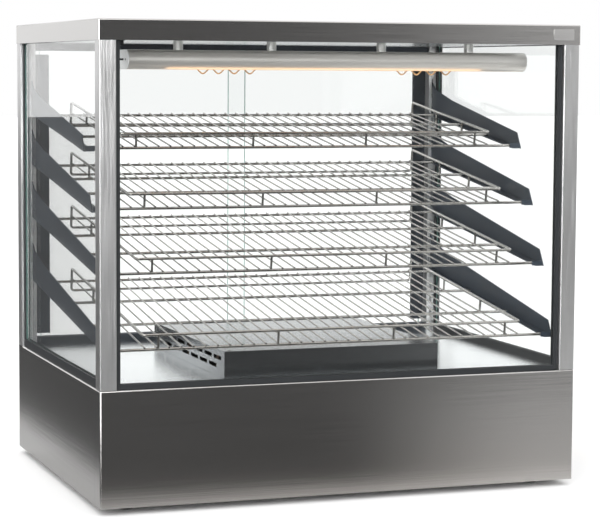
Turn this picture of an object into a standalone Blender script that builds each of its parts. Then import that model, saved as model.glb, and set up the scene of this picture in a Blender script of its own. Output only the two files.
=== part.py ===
"""Countertop hot food display case with four sloped wire racks.

Units are metres. +X is to the right as the customer sees the case, -Y is towards the
customer and +Z is up. The origin is on the counter, at the middle of the footprint.
"""

import math

import bmesh
import bpy
from mathutils import Matrix, Vector

# Overall sizes.
WIDTH = 0.900
DEPTH = 0.655
HEIGHT = 0.847

# Shared making sizes.
SHEET = 0.0012
GAP = 0.0003
OVERCUT = 0.010

# Base cabinet.
FOOT_HEIGHT = 0.012
FOOT_RADIUS = 0.018
FOOT_CHAMFER = 0.003
FOOT_INSET = 0.060
BASE_HEIGHT = 0.204
FRONT_SEAM_PAST_POST = 0.008
REAR_SEAM_PAST_POST = 0.004
SIDE_FLANGE = 0.030
PAN_HEIGHT = 0.018
PAN_RAISE = 0.001

# Top cap and posts.
CAP_HEIGHT = 0.036
POST = 0.030
POST_WALL = 0.0015

# Slots in the rear posts that the rack brackets hook into.
SLOT_PITCH = 0.027
SLOT_SIDE_CLEARANCE = 0.0008
SLOT_LENGTH = 0.013
SLOT_FROM_BASE = 0.038
SLOT_FROM_CAP = 0.012

# Fixed glazing and its black seals.
PANE = 0.004
SEAL_WIDTH = 0.008
SEAL_BITE = 0.005
SEAL_INTO_CAP = 0.012
FRONT_SEAL_FOOT = 0.009
FRONT_SEAL_DEPTH = 0.012
FRONT_SEAL_RECESS = 0.008
SIDE_SEAL_FOOT = 0.015
SIDE_SEAL_DEPTH = 0.010
SIDE_SEAL_RECESS = 0.004

# Sliding rear doors and their tracks.
TRACK_DEPTH = 0.022
TRACK_RECESS = 0.004
TRACK_SIDE_CLEARANCE = 0.0006
TRACK_PITCH = 0.0105
LOWER_TRACK_HEIGHT = 0.016
LOWER_GROOVE_DEPTH = 0.010
UPPER_TRACK_HEIGHT = 0.0145
UPPER_GROOVE_DEPTH = 0.0115
DOOR_PANE = 0.005
DOOR_OVERLAP = 0.033
DOOR_END_CLEARANCE = 0.0015
DOOR_LIFT = 0.004
HANDLE_WIDTH = 0.026
HANDLE_THICKNESS = 0.009
HANDLE_BITE = 0.018
HANDLE_TRACK_CLEARANCE = 0.0075

# Rack brackets.
RACK_SLOPE = math.radians(7.6)
BRACKET_SHEET = 0.002
BRACKET_FROM_SIDE = 0.022
BRACKET_TOP_SLOPE = math.radians(10.3)
BRACKET_NOSE_RUN = 0.018
BRACKET_SHOULDER = 0.102
BRACKET_CURL = 0.018
LEDGE_WIDTH = 0.016
LEDGE_REAR_CLEARANCE = 0.004
WEB_BELOW_LEDGE = 0.0005
LIP_WIDTH = 0.022
LIP_HEIGHT = 0.008
HOOK_DROP = 0.004
HOOK_THICKNESS = 0.003
HOOK_NECK = 0.0082

# The bracket's height at its nose and the rise of its rear curl, for each unit of the
# smallest space between two tiers.
BRACKET_NOSE_SHARE = 0.2667
BRACKET_CURL_SHARE = 0.1429

# Wire racks. A tier is its setback behind the case's front, and how far up its front rod
# is on the way from the lowest tier's to the highest tier's.
TIERS = ((0.1974, 1.0), (0.1420, 0.6953), (0.0925, 0.3746), (0.0520, 0.0))
LOWEST_TIER_RISE = 0.0614
HIGHEST_TIER_BELOW_HOOD = 0.1402
RACK_REAR_CLEARANCE = 0.054
ROD = 0.005
WIRE = 0.003
WELD = 0.0008
ROD_END_CLEARANCE = 0.008
RIM_INSET = 0.0575
RIM_HEIGHT = 0.026
RIM_DROP = 0.018
CROSS_RODS = 4
DECK_WIRES = 17
DECK_WIRE_INSET = 0.004
FRONT_STANDS = 4
FRONT_STAND_INSET = 0.029

# Lamp hood, hung under the ceiling behind the front glass.
HOOD_END_CLEARANCE = 0.040
HOOD_FROM_FRONT = 0.111
HOOD_DROP = 0.016
HOOD_HEIGHT = 0.034
HOOD_FLAT = 0.022
HOOD_BULGE = 0.019
HOOD_WALL = 0.0015
HOOD_ARC_STEPS = 7
WINDOW_LENGTH = 0.122
WINDOW_PAST_FLAT = 0.004
HANGER_RADIUS = 0.0085
INNER_HANGER_X = 0.105
OUTER_HANGER_INSET = 0.1005
LAMP_RADIUS = 0.005
LAMP_LENGTH = 0.118
LAMP_CAP_RADIUS = 0.008
LAMP_CAP_LENGTH = 0.012
LAMP_HOLDER_WIDTH = 0.010
LAMP_HOLDER_SHEET = 0.006
GUARD_WIRE = 0.0026
GUARD_LOOPS = 4
GUARD_END_CLEARANCE = 0.003
GUARD_HANG = 0.007
GUARD_STEPS = 8

# Slotted air duct on the deck.
DUCT_HALF_WIDTH = 0.205
DUCT_FROM_FRONT = 0.0685
DUCT_FROM_REAR = 0.1275
DUCT_HEIGHT = 0.0485
DUCT_SLOT_LENGTH = 0.045
DUCT_SLOT_HEIGHT = 0.007
DUCT_SLOT_PITCH = 0.057
DUCT_SLOT_END = 0.018
DUCT_SLOT_ROWS = ((0.0150, 0.0), (0.0305, 0.5))

# Fan under the deck, and heating element inside the duct.
FAN_WALL = 0.003
FAN_DEPTH = 0.038
FAN_BORE = 0.057
FAN_Y = 0.000
MOTOR_RADIUS = 0.020
MOTOR_DEPTH = 0.012
STRUT_WIDTH = 0.008
STRUT_DEPTH = 0.004
IMPELLER_CLEARANCE = 0.004
IMPELLER_HUB = 0.021
IMPELLER_DEPTH = 0.020
IMPELLER_BLADES = 5
BLADE_CHORD = 0.020
BLADE_ROOT = 0.004
BLADE_SHEET = 0.0016
BLADE_PITCH = math.radians(35.0)
ELEMENT_RADIUS = 0.004
ELEMENT_RAISE = 0.022
ELEMENT_RUNS = 4
ELEMENT_RUN_PITCH = 0.060
ELEMENT_END_CLEARANCE = 0.040
ELEMENT_LEG_BEND = 0.010
ELEMENT_BEND_STEPS = 6

# Recessed control panel in the rear of the base.
CONTROL_X = -0.210
CONTROL_HALF_WIDTH = 0.150
CONTROL_HALF_HEIGHT = 0.055
CONTROL_DEPTH = 0.025
KNOB_X = 0.105
KNOB_RADIUS = 0.020
KNOB_LENGTH = 0.016
KNOB_SKIRT = 0.0015
SHAFT_RADIUS = 0.003
SHAFT_LENGTH = 0.011
SHAFT_CLEARANCE = 0.0004
THERMOSTAT_SIZE = 0.034
THERMOSTAT_DEPTH = 0.028
DISPLAY_X = 0.035
DISPLAY_WINDOW = (0.044, 0.018)
DISPLAY_MARGIN = (0.008, 0.006)
DISPLAY_DEPTH = 0.005
DISPLAY_RECESS = 0.0012
SWITCH_X = -0.035
SWITCH_WEB = 0.0068
SWITCH_MARGIN = (0.0064, 0.005)
SWITCH_FRAME_DEPTH = 0.006
ROCKER_WIDTH = 0.0180
ROCKER_HALF_HEIGHT = 0.0118
ROCKER_CREST = 0.0050
ROCKER_VALLEY = 0.0036
ROCKER_BACK = 0.0028
ROCKER_TAPER = 0.0024
ROCKER_TILT = math.radians(7.0)
ROCKER_CLEARANCE = 0.0012
INLET_X = -0.105
INLET_FLANGE = (0.050, 0.030)
INLET_FLANGE_DEPTH = 0.003
INLET_SOCKET = (0.0240, 0.0165)
INLET_SOCKET_DEPTH = 0.016
INLET_WALL = 0.0024
INLET_FLOOR = 0.009

# Places worked out from the sizes above.
BODY_X = WIDTH / 2 - SHEET - GAP
BODY_Y = DEPTH / 2 - SHEET - GAP
BASE_TOP = FOOT_HEIGHT + BASE_HEIGHT
CAP_BOTTOM = HEIGHT - CAP_HEIGHT
CAP_UNDERSIDE = HEIGHT - SHEET
INNER_X = BODY_X - POST
INNER_Y = BODY_Y - POST
CEILING_Z = CAP_BOTTOM + SHEET
TRACK_REAR = BODY_Y - TRACK_RECESS
TRACK_FRONT = TRACK_REAR - TRACK_DEPTH
TRACK_MIDDLE = (TRACK_FRONT + TRACK_REAR) / 2
TRACK_GROOVE = DOOR_PANE + 2 * TRACK_SIDE_CLEARANCE
SEAT_Z = BASE_TOP + GAP
DECK_TOP = SEAT_Z + SHEET
SLOPE_RISE = math.tan(RACK_SLOPE)
BRACKET_X = BODY_X - BRACKET_FROM_SIDE
SLOT_WIDTH = BRACKET_SHEET + 2 * SLOT_SIDE_CLEARANCE
ROD_HALF_LENGTH = BRACKET_X - BRACKET_SHEET / 2 - ROD_END_CLEARANCE
HOOD_HALF_LENGTH = INNER_X - HOOD_END_CLEARANCE
HOOD_Y = -BODY_Y + HOOD_FROM_FRONT
HOOD_TOP = CEILING_Z - HOOD_DROP
HOOD_BOTTOM = HOOD_TOP - HOOD_HEIGHT
WINDOW_X = HOOD_HALF_LENGTH / 2
GUARD_PITCH = (WINDOW_LENGTH - 2 * GUARD_END_CLEARANCE) / GUARD_LOOPS
LOWEST_TIER_Z = BASE_TOP + LOWEST_TIER_RISE
HIGHEST_TIER_Z = HOOD_BOTTOM - HIGHEST_TIER_BELOW_HOOD
TIER_SPACE = (HIGHEST_TIER_Z - LOWEST_TIER_Z) * min(
    upper[1] - lower[1] for upper, lower in zip(TIERS, TIERS[1:]))
IMPELLER_RADIUS = FAN_BORE - IMPELLER_CLEARANCE
CONTROL_Z = FOOT_HEIGHT + BASE_HEIGHT / 2
CONTROL_REAR = BODY_Y - SHEET - GAP
CONTROL_FLOOR = CONTROL_REAR - CONTROL_DEPTH + SHEET
ROCKER_WINDOW = (ROCKER_WIDTH + ROCKER_CLEARANCE, 2 * (ROCKER_HALF_HEIGHT + ROCKER_CLEARANCE))
SWITCH_PITCH = ROCKER_WINDOW[0] + SWITCH_WEB

# Colour, metallic value and roughness of each finish.
FINISHES = {
    "brushed_steel": ((0.42, 0.41, 0.40, 1.0), 1.0, 0.32),
    "dark_steel": ((0.10, 0.12, 0.15, 1.0), 0.6, 0.45),
    "chrome_wire": ((0.55, 0.53, 0.50, 1.0), 1.0, 0.18),
    "aluminium": ((0.60, 0.58, 0.55, 1.0), 1.0, 0.38),
    "glass": ((0.90, 0.95, 0.95, 0.25), 0.0, 0.04),
    "black_seal": ((0.015, 0.018, 0.020, 1.0), 0.0, 0.55),
    "black_plastic": ((0.02, 0.02, 0.02, 1.0), 0.0, 0.40),
    "rubber": ((0.03, 0.03, 0.03, 1.0), 0.0, 0.80),
    "quartz": ((0.95, 0.75, 0.45, 1.0), 0.0, 0.15),
    "element_steel": ((0.22, 0.18, 0.15, 1.0), 0.8, 0.50),
    "red_plastic": ((0.55, 0.02, 0.02, 1.0), 0.0, 0.30),
}


def clear_scene():
    """Remove whatever objects the file starts with."""
    for item in list(bpy.data.objects):
        bpy.data.objects.remove(item, do_unlink=True)


def dress(item, finish):
    """Give one object its own material."""
    colour, metallic, roughness = FINISHES[finish]
    material = bpy.data.materials.new(f"{item.name}_{finish}")
    material.use_nodes = True
    shader = material.node_tree.nodes["Principled BSDF"]
    shader.inputs["Base Color"].default_value = colour
    shader.inputs["Metallic"].default_value = metallic
    shader.inputs["Roughness"].default_value = roughness
    shader.inputs["Alpha"].default_value = colour[3]
    item.data.materials.append(material)


def add_object(name, shape, location=(0, 0, 0), rotation=(0, 0, 0), parent=None):
    """Turn a bmesh into a named object at a place."""
    bmesh.ops.remove_doubles(shape, verts=shape.verts, dist=1e-6)
    bmesh.ops.recalc_face_normals(shape, faces=shape.faces)
    mesh = bpy.data.meshes.new(name)
    shape.to_mesh(mesh)
    shape.free()
    item = bpy.data.objects.new(name, mesh)
    bpy.context.collection.objects.link(item)
    item.location = location
    item.rotation_euler = rotation
    item.parent = parent
    return item


def add_axis(name, location, rotation=(0, 0, 0)):
    """Add an empty on a joint's axis, for the pieces that move with it."""
    axis = bpy.data.objects.new(name, None)
    bpy.context.collection.objects.link(axis)
    axis.location = location
    axis.rotation_euler = rotation
    return axis


def add_box(shape, low, high):
    """Add a closed box to a bmesh."""
    low, high = Vector(low), Vector(high)
    size = high - low
    place = Matrix.Translation((low + high) / 2) @ Matrix.Diagonal((*size, 1.0))
    return bmesh.ops.create_cube(shape, size=1.0, matrix=place)["verts"]


def box_mesh(*pairs):
    """Return a bmesh of one or more boxes, each given by its low and high corners."""
    shape = bmesh.new()
    for low, high in pairs:
        add_box(shape, low, high)
    return shape


def prism_mesh(outline, low, high, axis):
    """Extrude a flat outline along X, Y or Z.

    The outline's two numbers are the other two coordinates, in X, Y, Z order.
    """
    shape = bmesh.new()
    corners = []
    for first, second in outline:
        place = [first, second]
        place.insert(axis, low)
        corners.append(shape.verts.new(place))
    cap = shape.faces.new(corners)
    swept = bmesh.ops.extrude_face_region(shape, geom=[cap])["geom"]
    step = Vector((0, 0, 0))
    step[axis] = high - low
    moved = [part for part in swept if isinstance(part, bmesh.types.BMVert)]
    bmesh.ops.translate(shape, verts=moved, vec=step)
    return shape


def turned_mesh(profile, steps, axis=(0, 0, 1), across=(1, 0, 0)):
    """Turn a profile of (radius, height) points once round an axis."""
    shape = bmesh.new()
    axis, across = Vector(axis), Vector(across)
    points = [shape.verts.new(across * radius + axis * height) for radius, height in profile]
    edges = [shape.edges.new(pair) for pair in zip(points, points[1:])]
    bmesh.ops.spin(shape, geom=points + edges, axis=axis, cent=(0, 0, 0),
                   angle=math.tau, steps=steps, use_merge=True)
    bmesh.ops.remove_doubles(shape, verts=shape.verts, dist=1e-6)
    return shape


def round_off(item, degrees=40):
    """Shade a round piece smooth, with its corners kept sharp."""
    item.data.shade_smooth()
    item.data.set_sharp_from_angle(angle=math.radians(degrees))


def combine(item, operation, shape, label):
    """Cut a shape from an object, or join it on, with a Boolean modifier."""
    tool = add_object(f"{item.name}_{label}", shape, item.location, item.rotation_euler,
                      item.parent)
    tool.hide_render = True
    tool.display_type = "WIRE"
    modifier = item.modifiers.new(label, "BOOLEAN")
    modifier.operation = operation
    modifier.solver = "EXACT"
    modifier.object = tool


def cut(item, shape, label="cut"):
    """Cut a shape out of an object."""
    combine(item, "DIFFERENCE", shape, label)


def join(item, shape, label="join"):
    """Join a shape on to an object."""
    combine(item, "UNION", shape, label)


def add_sheet_box(name, low, high, open_sides):
    """Make a folded sheet-metal box that lacks the named sides."""
    normals = {"left": (-1, 0, 0), "right": (1, 0, 0), "front": (0, -1, 0),
               "back": (0, 1, 0), "bottom": (0, 0, -1), "top": (0, 0, 1)}
    shape = box_mesh((low, high))
    shape.normal_update()
    missing = [Vector(normals[side]) for side in open_sides]
    gone = [face for face in shape.faces if any(face.normal.dot(way) > 0.9 for way in missing)]
    bmesh.ops.delete(shape, geom=gone, context="FACES")
    mesh = bpy.data.meshes.new(name)
    shape.to_mesh(mesh)
    shape.free()
    item = bpy.data.objects.new(name, mesh)
    bpy.context.collection.objects.link(item)
    wall = item.modifiers.new("wall", "SOLIDIFY")
    wall.thickness = SHEET
    wall.offset = -1
    wall.use_even_offset = True
    dress(item, "brushed_steel")
    return item


def add_tube(name, points, radius, finish, resolution=2):
    """Make a round wire along a list of points."""
    curve = bpy.data.curves.new(name, "CURVE")
    curve.dimensions = "3D"
    curve.bevel_depth = radius
    curve.bevel_resolution = resolution
    curve.use_fill_caps = True
    spline = curve.splines.new("POLY")
    spline.points.add(len(points) - 1)
    for point, place in zip(spline.points, points):
        point.co = (*place, 1.0)
    item = bpy.data.objects.new(name, curve)
    bpy.context.collection.objects.link(item)
    dress(item, finish)
    return item


def span(low, high, count):
    """Return evenly spaced numbers from low to high."""
    return [low + (high - low) * index / (count - 1) for index in range(count)]


def grown(size, margin):
    """Return a width and height with a margin added on all four sides."""
    return size[0] + 2 * margin[0], size[1] + 2 * margin[1]


def tier_places():
    """Return each rack tier's number, and the depth and height of its front rod."""
    climb = HIGHEST_TIER_Z - LOWEST_TIER_Z
    return [(index, -BODY_Y + setback, LOWEST_TIER_Z + share * climb)
            for index, (setback, share) in enumerate(TIERS, start=1)]


def slot_heights():
    """Return the middle heights of the slots in a rear post."""
    lowest = BASE_TOP + SLOT_FROM_BASE
    room = CAP_BOTTOM - SLOT_FROM_CAP - lowest
    return [lowest + SLOT_PITCH * index for index in range(int(room / SLOT_PITCH) + 1)]


def build_feet():
    """Four rubber feet under the base pan."""
    top = FOOT_HEIGHT + PAN_RAISE - GAP
    profile = [(0, 0), (FOOT_RADIUS - FOOT_CHAMFER, 0), (FOOT_RADIUS, FOOT_CHAMFER),
               (FOOT_RADIUS, top), (0, top)]
    for end, side_y in (("front", -1), ("rear", 1)):
        for side, side_x in (("left", -1), ("right", 1)):
            place = (side_x * (BODY_X - FOOT_INSET), side_y * (BODY_Y - FOOT_INSET), 0)
            foot = add_object(f"foot_{end}_{side}", turned_mesh(profile, 16), place)
            round_off(foot)
            dress(foot, "rubber")


def build_base():
    """Base pan, folded skirt panels and deck."""
    pan_x, pan_y = BODY_X - SHEET - GAP, BODY_Y - SHEET - GAP
    pan_low = FOOT_HEIGHT + PAN_RAISE
    add_sheet_box("base_pan", (-pan_x, -pan_y, pan_low), (pan_x, pan_y, pan_low + PAN_HEIGHT),
                  ["top"])
    front_seam = -INNER_Y + FRONT_SEAM_PAST_POST
    rear_seam = INNER_Y - REAR_SEAM_PAST_POST
    add_sheet_box("front_panel", (-BODY_X, -BODY_Y, FOOT_HEIGHT),
                  (BODY_X, front_seam, BASE_TOP), ["back", "bottom"])
    rear = add_sheet_box("rear_panel", (-BODY_X, rear_seam, FOOT_HEIGHT),
                         (BODY_X, BODY_Y, BASE_TOP), ["front", "bottom"])
    cut(rear, box_mesh(((CONTROL_X - CONTROL_HALF_WIDTH, BODY_Y - OVERCUT,
                         CONTROL_Z - CONTROL_HALF_HEIGHT),
                        (CONTROL_X + CONTROL_HALF_WIDTH, BODY_Y + OVERCUT,
                         CONTROL_Z + CONTROL_HALF_HEIGHT))), "control_window")
    middle = ["front", "back", "bottom"]
    add_sheet_box("left_side_panel", (-BODY_X, front_seam + GAP, FOOT_HEIGHT),
                  (-BODY_X + SIDE_FLANGE, rear_seam - GAP, BASE_TOP), middle + ["right"])
    add_sheet_box("right_side_panel", (BODY_X - SIDE_FLANGE, front_seam + GAP, FOOT_HEIGHT),
                  (BODY_X, rear_seam - GAP, BASE_TOP), middle + ["left"])


def notched_outline(clearance_front):
    """Outline of a plate that fills the case and steps in round the four posts."""
    wide_x = BODY_X - SIDE_SEAL_RECESS - SIDE_SEAL_DEPTH - GAP
    narrow_x = INNER_X - GAP
    front = -BODY_Y + FRONT_SEAL_RECESS + FRONT_SEAL_DEPTH + GAP
    rear = clearance_front
    step_y = INNER_Y - GAP
    right = [(narrow_x, front), (narrow_x, -step_y), (wide_x, -step_y), (wide_x, step_y),
             (narrow_x, step_y), (narrow_x, rear)]
    return right + [(-x, y) for x, y in reversed(right)]


def build_deck_and_ceiling():
    """Deck with the fan's round outlet, and the ceiling sheet under the cap."""
    deck = add_object("deck", prism_mesh(notched_outline(TRACK_FRONT - GAP), SEAT_Z, DECK_TOP, 2))
    outlet = [(0, -OVERCUT), (FAN_BORE, -OVERCUT), (FAN_BORE, OVERCUT), (0, OVERCUT)]
    hole = turned_mesh(outlet, 24)
    bmesh.ops.translate(hole, verts=hole.verts, vec=(0, FAN_Y, SEAT_Z))
    cut(deck, hole, "fan_outlet")
    dress(deck, "brushed_steel")
    ceiling = add_object("ceiling_panel", prism_mesh(notched_outline(TRACK_REAR), CEILING_Z + GAP,
                                                     CEILING_Z + GAP + SHEET, 2))
    dress(ceiling, "brushed_steel")


def build_posts():
    """Four square tubes; the rear pair has slots for the brackets."""
    bottom, top = SEAT_Z, CAP_UNDERSIDE - GAP
    for end, side_y in (("front", -1), ("rear", 1)):
        for side, side_x in (("left", -1), ("right", 1)):
            middle = (side_x * (BODY_X - POST / 2), side_y * (BODY_Y - POST / 2), 0)
            half = POST / 2
            bore = half - POST_WALL
            post = add_object(f"post_{end}_{side}",
                              box_mesh(((-half, -half, bottom), (half, half, top))), middle)
            cut(post, box_mesh(((-bore, -bore, bottom - OVERCUT), (bore, bore, top + OVERCUT))),
                "bore")
            if end == "rear":
                slot_x = side_x * BRACKET_X - middle[0]
                slots = [((slot_x - SLOT_WIDTH / 2, -half - POST_WALL, z - SLOT_LENGTH / 2),
                          (slot_x + SLOT_WIDTH / 2, -bore + POST_WALL, z + SLOT_LENGTH / 2))
                         for z in slot_heights()]
                cut(post, box_mesh(*slots), "bracket_slots")
            dress(post, "brushed_steel")


def build_cap():
    """Shallow steel cap over the posts."""
    add_sheet_box("top_cap", (-WIDTH / 2, -DEPTH / 2, CAP_BOTTOM), (WIDTH / 2, DEPTH / 2, HEIGHT),
                  ["bottom"])


def build_glazing(side, centre, turn, half_span, depth, foot):
    """One fixed pane in its black seal, which grips the pane's edge all round."""
    bottom = SEAT_Z
    top = CAP_BOTTOM + SEAL_INTO_CAP
    seal = add_object(f"seal_{side}", box_mesh(((-half_span, -depth / 2, bottom),
                                                (half_span, depth / 2, top))),
                      centre, (0, 0, turn))
    sight_x = half_span - SEAL_WIDTH
    sight_low, sight_high = bottom + foot, top - SEAL_WIDTH
    cut(seal, box_mesh(((-sight_x, -depth, sight_low), (sight_x, depth, sight_high))), "sight")
    pane_x = sight_x + SEAL_BITE
    pane_low, pane_high = sight_low - SEAL_BITE, sight_high + SEAL_BITE
    half = PANE / 2
    cut(seal, box_mesh(((-pane_x - GAP, -half - GAP, pane_low - GAP),
                        (pane_x + GAP, half + GAP, pane_high + GAP))), "groove")
    dress(seal, "black_seal")
    pane = add_object(f"glass_{side}", box_mesh(((-pane_x, -half, pane_low),
                                                 (pane_x, half, pane_high))), centre, (0, 0, turn))
    dress(pane, "glass")


def build_fixed_glass():
    """Front pane and two side panes."""
    front_y = -BODY_Y + FRONT_SEAL_RECESS + FRONT_SEAL_DEPTH / 2
    side_x = BODY_X - SIDE_SEAL_RECESS - SIDE_SEAL_DEPTH / 2
    build_glazing("front", (0, front_y, 0), 0, INNER_X - GAP, FRONT_SEAL_DEPTH, FRONT_SEAL_FOOT)
    build_glazing("left", (-side_x, 0, 0), math.pi / 2, INNER_Y - GAP, SIDE_SEAL_DEPTH,
                  SIDE_SEAL_FOOT)
    build_glazing("right", (side_x, 0, 0), math.pi / 2, INNER_Y - GAP, SIDE_SEAL_DEPTH,
                  SIDE_SEAL_FOOT)


def groove_centres():
    """Middle of the inner and of the outer door groove."""
    return TRACK_MIDDLE - TRACK_PITCH / 2, TRACK_MIDDLE + TRACK_PITCH / 2


def track_outline(back, mouth, groove_depth):
    """Section of a two-groove track, from its solid back to its open mouth."""
    inner, outer = groove_centres()
    half = TRACK_GROOVE / 2
    floor = mouth + math.copysign(groove_depth, back - mouth)
    outline = [(TRACK_FRONT, back), (TRACK_FRONT, mouth)]
    for centre in (inner, outer):
        outline += [(centre - half, mouth), (centre - half, floor),
                    (centre + half, floor), (centre + half, mouth)]
    return outline + [(TRACK_REAR, mouth), (TRACK_REAR, back)]


def build_doors():
    """Two sliding glass doors, their end handles and the tracks they run in."""
    track_x = INNER_X - GAP
    lower_mouth = SEAT_Z + LOWER_TRACK_HEIGHT
    upper_mouth = CEILING_Z - UPPER_TRACK_HEIGHT
    lower = track_outline(SEAT_Z, lower_mouth, LOWER_GROOVE_DEPTH)
    upper = track_outline(CEILING_Z, upper_mouth, UPPER_GROOVE_DEPTH)
    for name, outline in (("lower_door_track", lower), ("upper_door_track", upper)):
        dress(add_object(name, prism_mesh(outline, -track_x, track_x, 0)), "black_plastic")
    pane_low = lower_mouth - LOWER_GROOVE_DEPTH + GAP
    pane_high = upper_mouth + UPPER_GROOVE_DEPTH - DOOR_LIFT
    end_x = INNER_X - DOOR_END_CLEARANCE
    grip_low, grip_high = lower_mouth + HANDLE_TRACK_CLEARANCE, upper_mouth - HANDLE_TRACK_CLEARANCE
    edge_x = end_x - (HANDLE_WIDTH - HANDLE_BITE)
    half, thick = DOOR_PANE / 2, HANDLE_THICKNESS / 2
    mouth_x = end_x - HANDLE_WIDTH
    for side, way, plane in zip(("left", "right"), (-1, 1), groove_centres()):
        carriage = add_axis(f"door_{side}_carriage", (0, plane, 0))
        near, far = sorted((way * edge_x, -way * DOOR_OVERLAP / 2))
        pane = add_object(f"door_glass_{side}", box_mesh(((near, -half, pane_low),
                                                          (far, half, pane_high))),
                          parent=carriage)
        dress(pane, "glass")
        slot = half + GAP
        section = [(mouth_x, -thick), (end_x, -thick), (end_x, thick), (mouth_x, thick),
                   (mouth_x, slot), (edge_x + GAP, slot), (edge_x + GAP, -slot), (mouth_x, -slot)]
        handle = add_object(f"door_handle_{side}",
                            prism_mesh([(way * x, y) for x, y in section], grip_low, grip_high, 2),
                            parent=carriage)
        dress(handle, "black_plastic")


def ledge_height(tier_y, tier_z, y):
    """Height of the sloped ledge's upper face, just under the rack's rods."""
    return tier_z + (y - tier_y) * SLOPE_RISE - (ROD / 2 + GAP) / math.cos(RACK_SLOPE)


def bracket_outline(tier_y, tier_z):
    """Side outline of a bracket's web, with its two hooks."""
    rear = INNER_Y - GAP
    under = BRACKET_SHEET / math.cos(RACK_SLOPE) + WEB_BELOW_LEDGE
    nose = tier_y - ROD / 2 - GAP - BRACKET_SHEET
    low_rear = ledge_height(tier_y, tier_z, rear) - under
    brow_y = nose + BRACKET_NOSE_RUN
    brow_z = ledge_height(tier_y, tier_z, nose) + BRACKET_NOSE_SHARE * TIER_SPACE
    shoulder_y = rear - BRACKET_SHOULDER
    shoulder_z = brow_z + (shoulder_y - brow_y) * math.tan(BRACKET_TOP_SLOPE)
    curl_y = rear - BRACKET_CURL
    curl_z = shoulder_z + (curl_y - shoulder_y) * math.tan(BRACKET_TOP_SLOPE + RACK_SLOPE / 2)
    top_rear = curl_z + BRACKET_CURL_SHARE * TIER_SPACE
    inside = INNER_Y + POST_WALL + GAP
    outside = inside + HOOK_THICKNESS
    outline = [(nose, ledge_height(tier_y, tier_z, nose) - under), (rear, low_rear)]
    for z in hook_heights(low_rear, top_rear):
        seat = z - SLOT_LENGTH / 2 + GAP
        outline += [(rear, seat), (inside, seat), (inside, seat - HOOK_DROP),
                    (outside, seat - HOOK_DROP), (outside, seat + HOOK_NECK),
                    (rear, seat + HOOK_NECK)]
    return outline + [(rear, top_rear), (curl_y, curl_z), (shoulder_y, shoulder_z),
                      (brow_y, brow_z)]


def hook_heights(low, high):
    """The lowest and highest slots that a bracket's rear edge spans."""
    reach = SLOT_LENGTH / 2 + HOOK_DROP
    inside = [z for z in slot_heights() if low + reach < z < high - SLOT_LENGTH / 2]
    return [inside[0], inside[-1]] if len(inside) > 1 else inside


def build_brackets():
    """Four brackets a side: a web, a ledge for the rods and a front stop lip."""
    web_in, web_out = BRACKET_X - BRACKET_SHEET / 2, BRACKET_X + BRACKET_SHEET / 2
    into_web = web_in + BRACKET_SHEET / 3
    for index, tier_y, tier_z in tier_places():
        lip_rear = tier_y - ROD / 2 - GAP
        lip_front = lip_rear - BRACKET_SHEET
        ledge_front, ledge_rear = lip_front - WELD / 2, INNER_Y - LEDGE_REAR_CLEARANCE
        drop = BRACKET_SHEET / math.cos(RACK_SLOPE)
        front_z = ledge_height(tier_y, tier_z, ledge_front)
        rear_z = ledge_height(tier_y, tier_z, ledge_rear)
        ledge = [(ledge_front, front_z), (ledge_rear, rear_z), (ledge_rear, rear_z - drop),
                 (ledge_front, front_z - drop)]
        lip_base = front_z - drop / 2
        lip = [(lip_front, lip_base), (lip_rear, lip_base), (lip_rear, front_z + LIP_HEIGHT),
               (lip_front, front_z + LIP_HEIGHT)]
        for side, way in (("left", -1), ("right", 1)):
            bracket = add_object(f"bracket_{side}_{index}",
                                 prism_mesh(bracket_outline(tier_y, tier_z), way * web_in,
                                            way * web_out, 0))
            join(bracket, prism_mesh(ledge, way * (web_in - LEDGE_WIDTH), way * into_web, 0),
                 "ledge")
            join(bracket, prism_mesh(lip, way * (web_in - LIP_WIDTH),
                                     way * (web_in - SHEET / 2), 0), "lip")
            dress(bracket, "dark_steel")


def bar_x(half_length, y, z, thickness):
    """Corners of a square bar that runs along X."""
    half = thickness / 2
    return (-half_length, y - half, z - half), (half_length, y + half, z + half)


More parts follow.
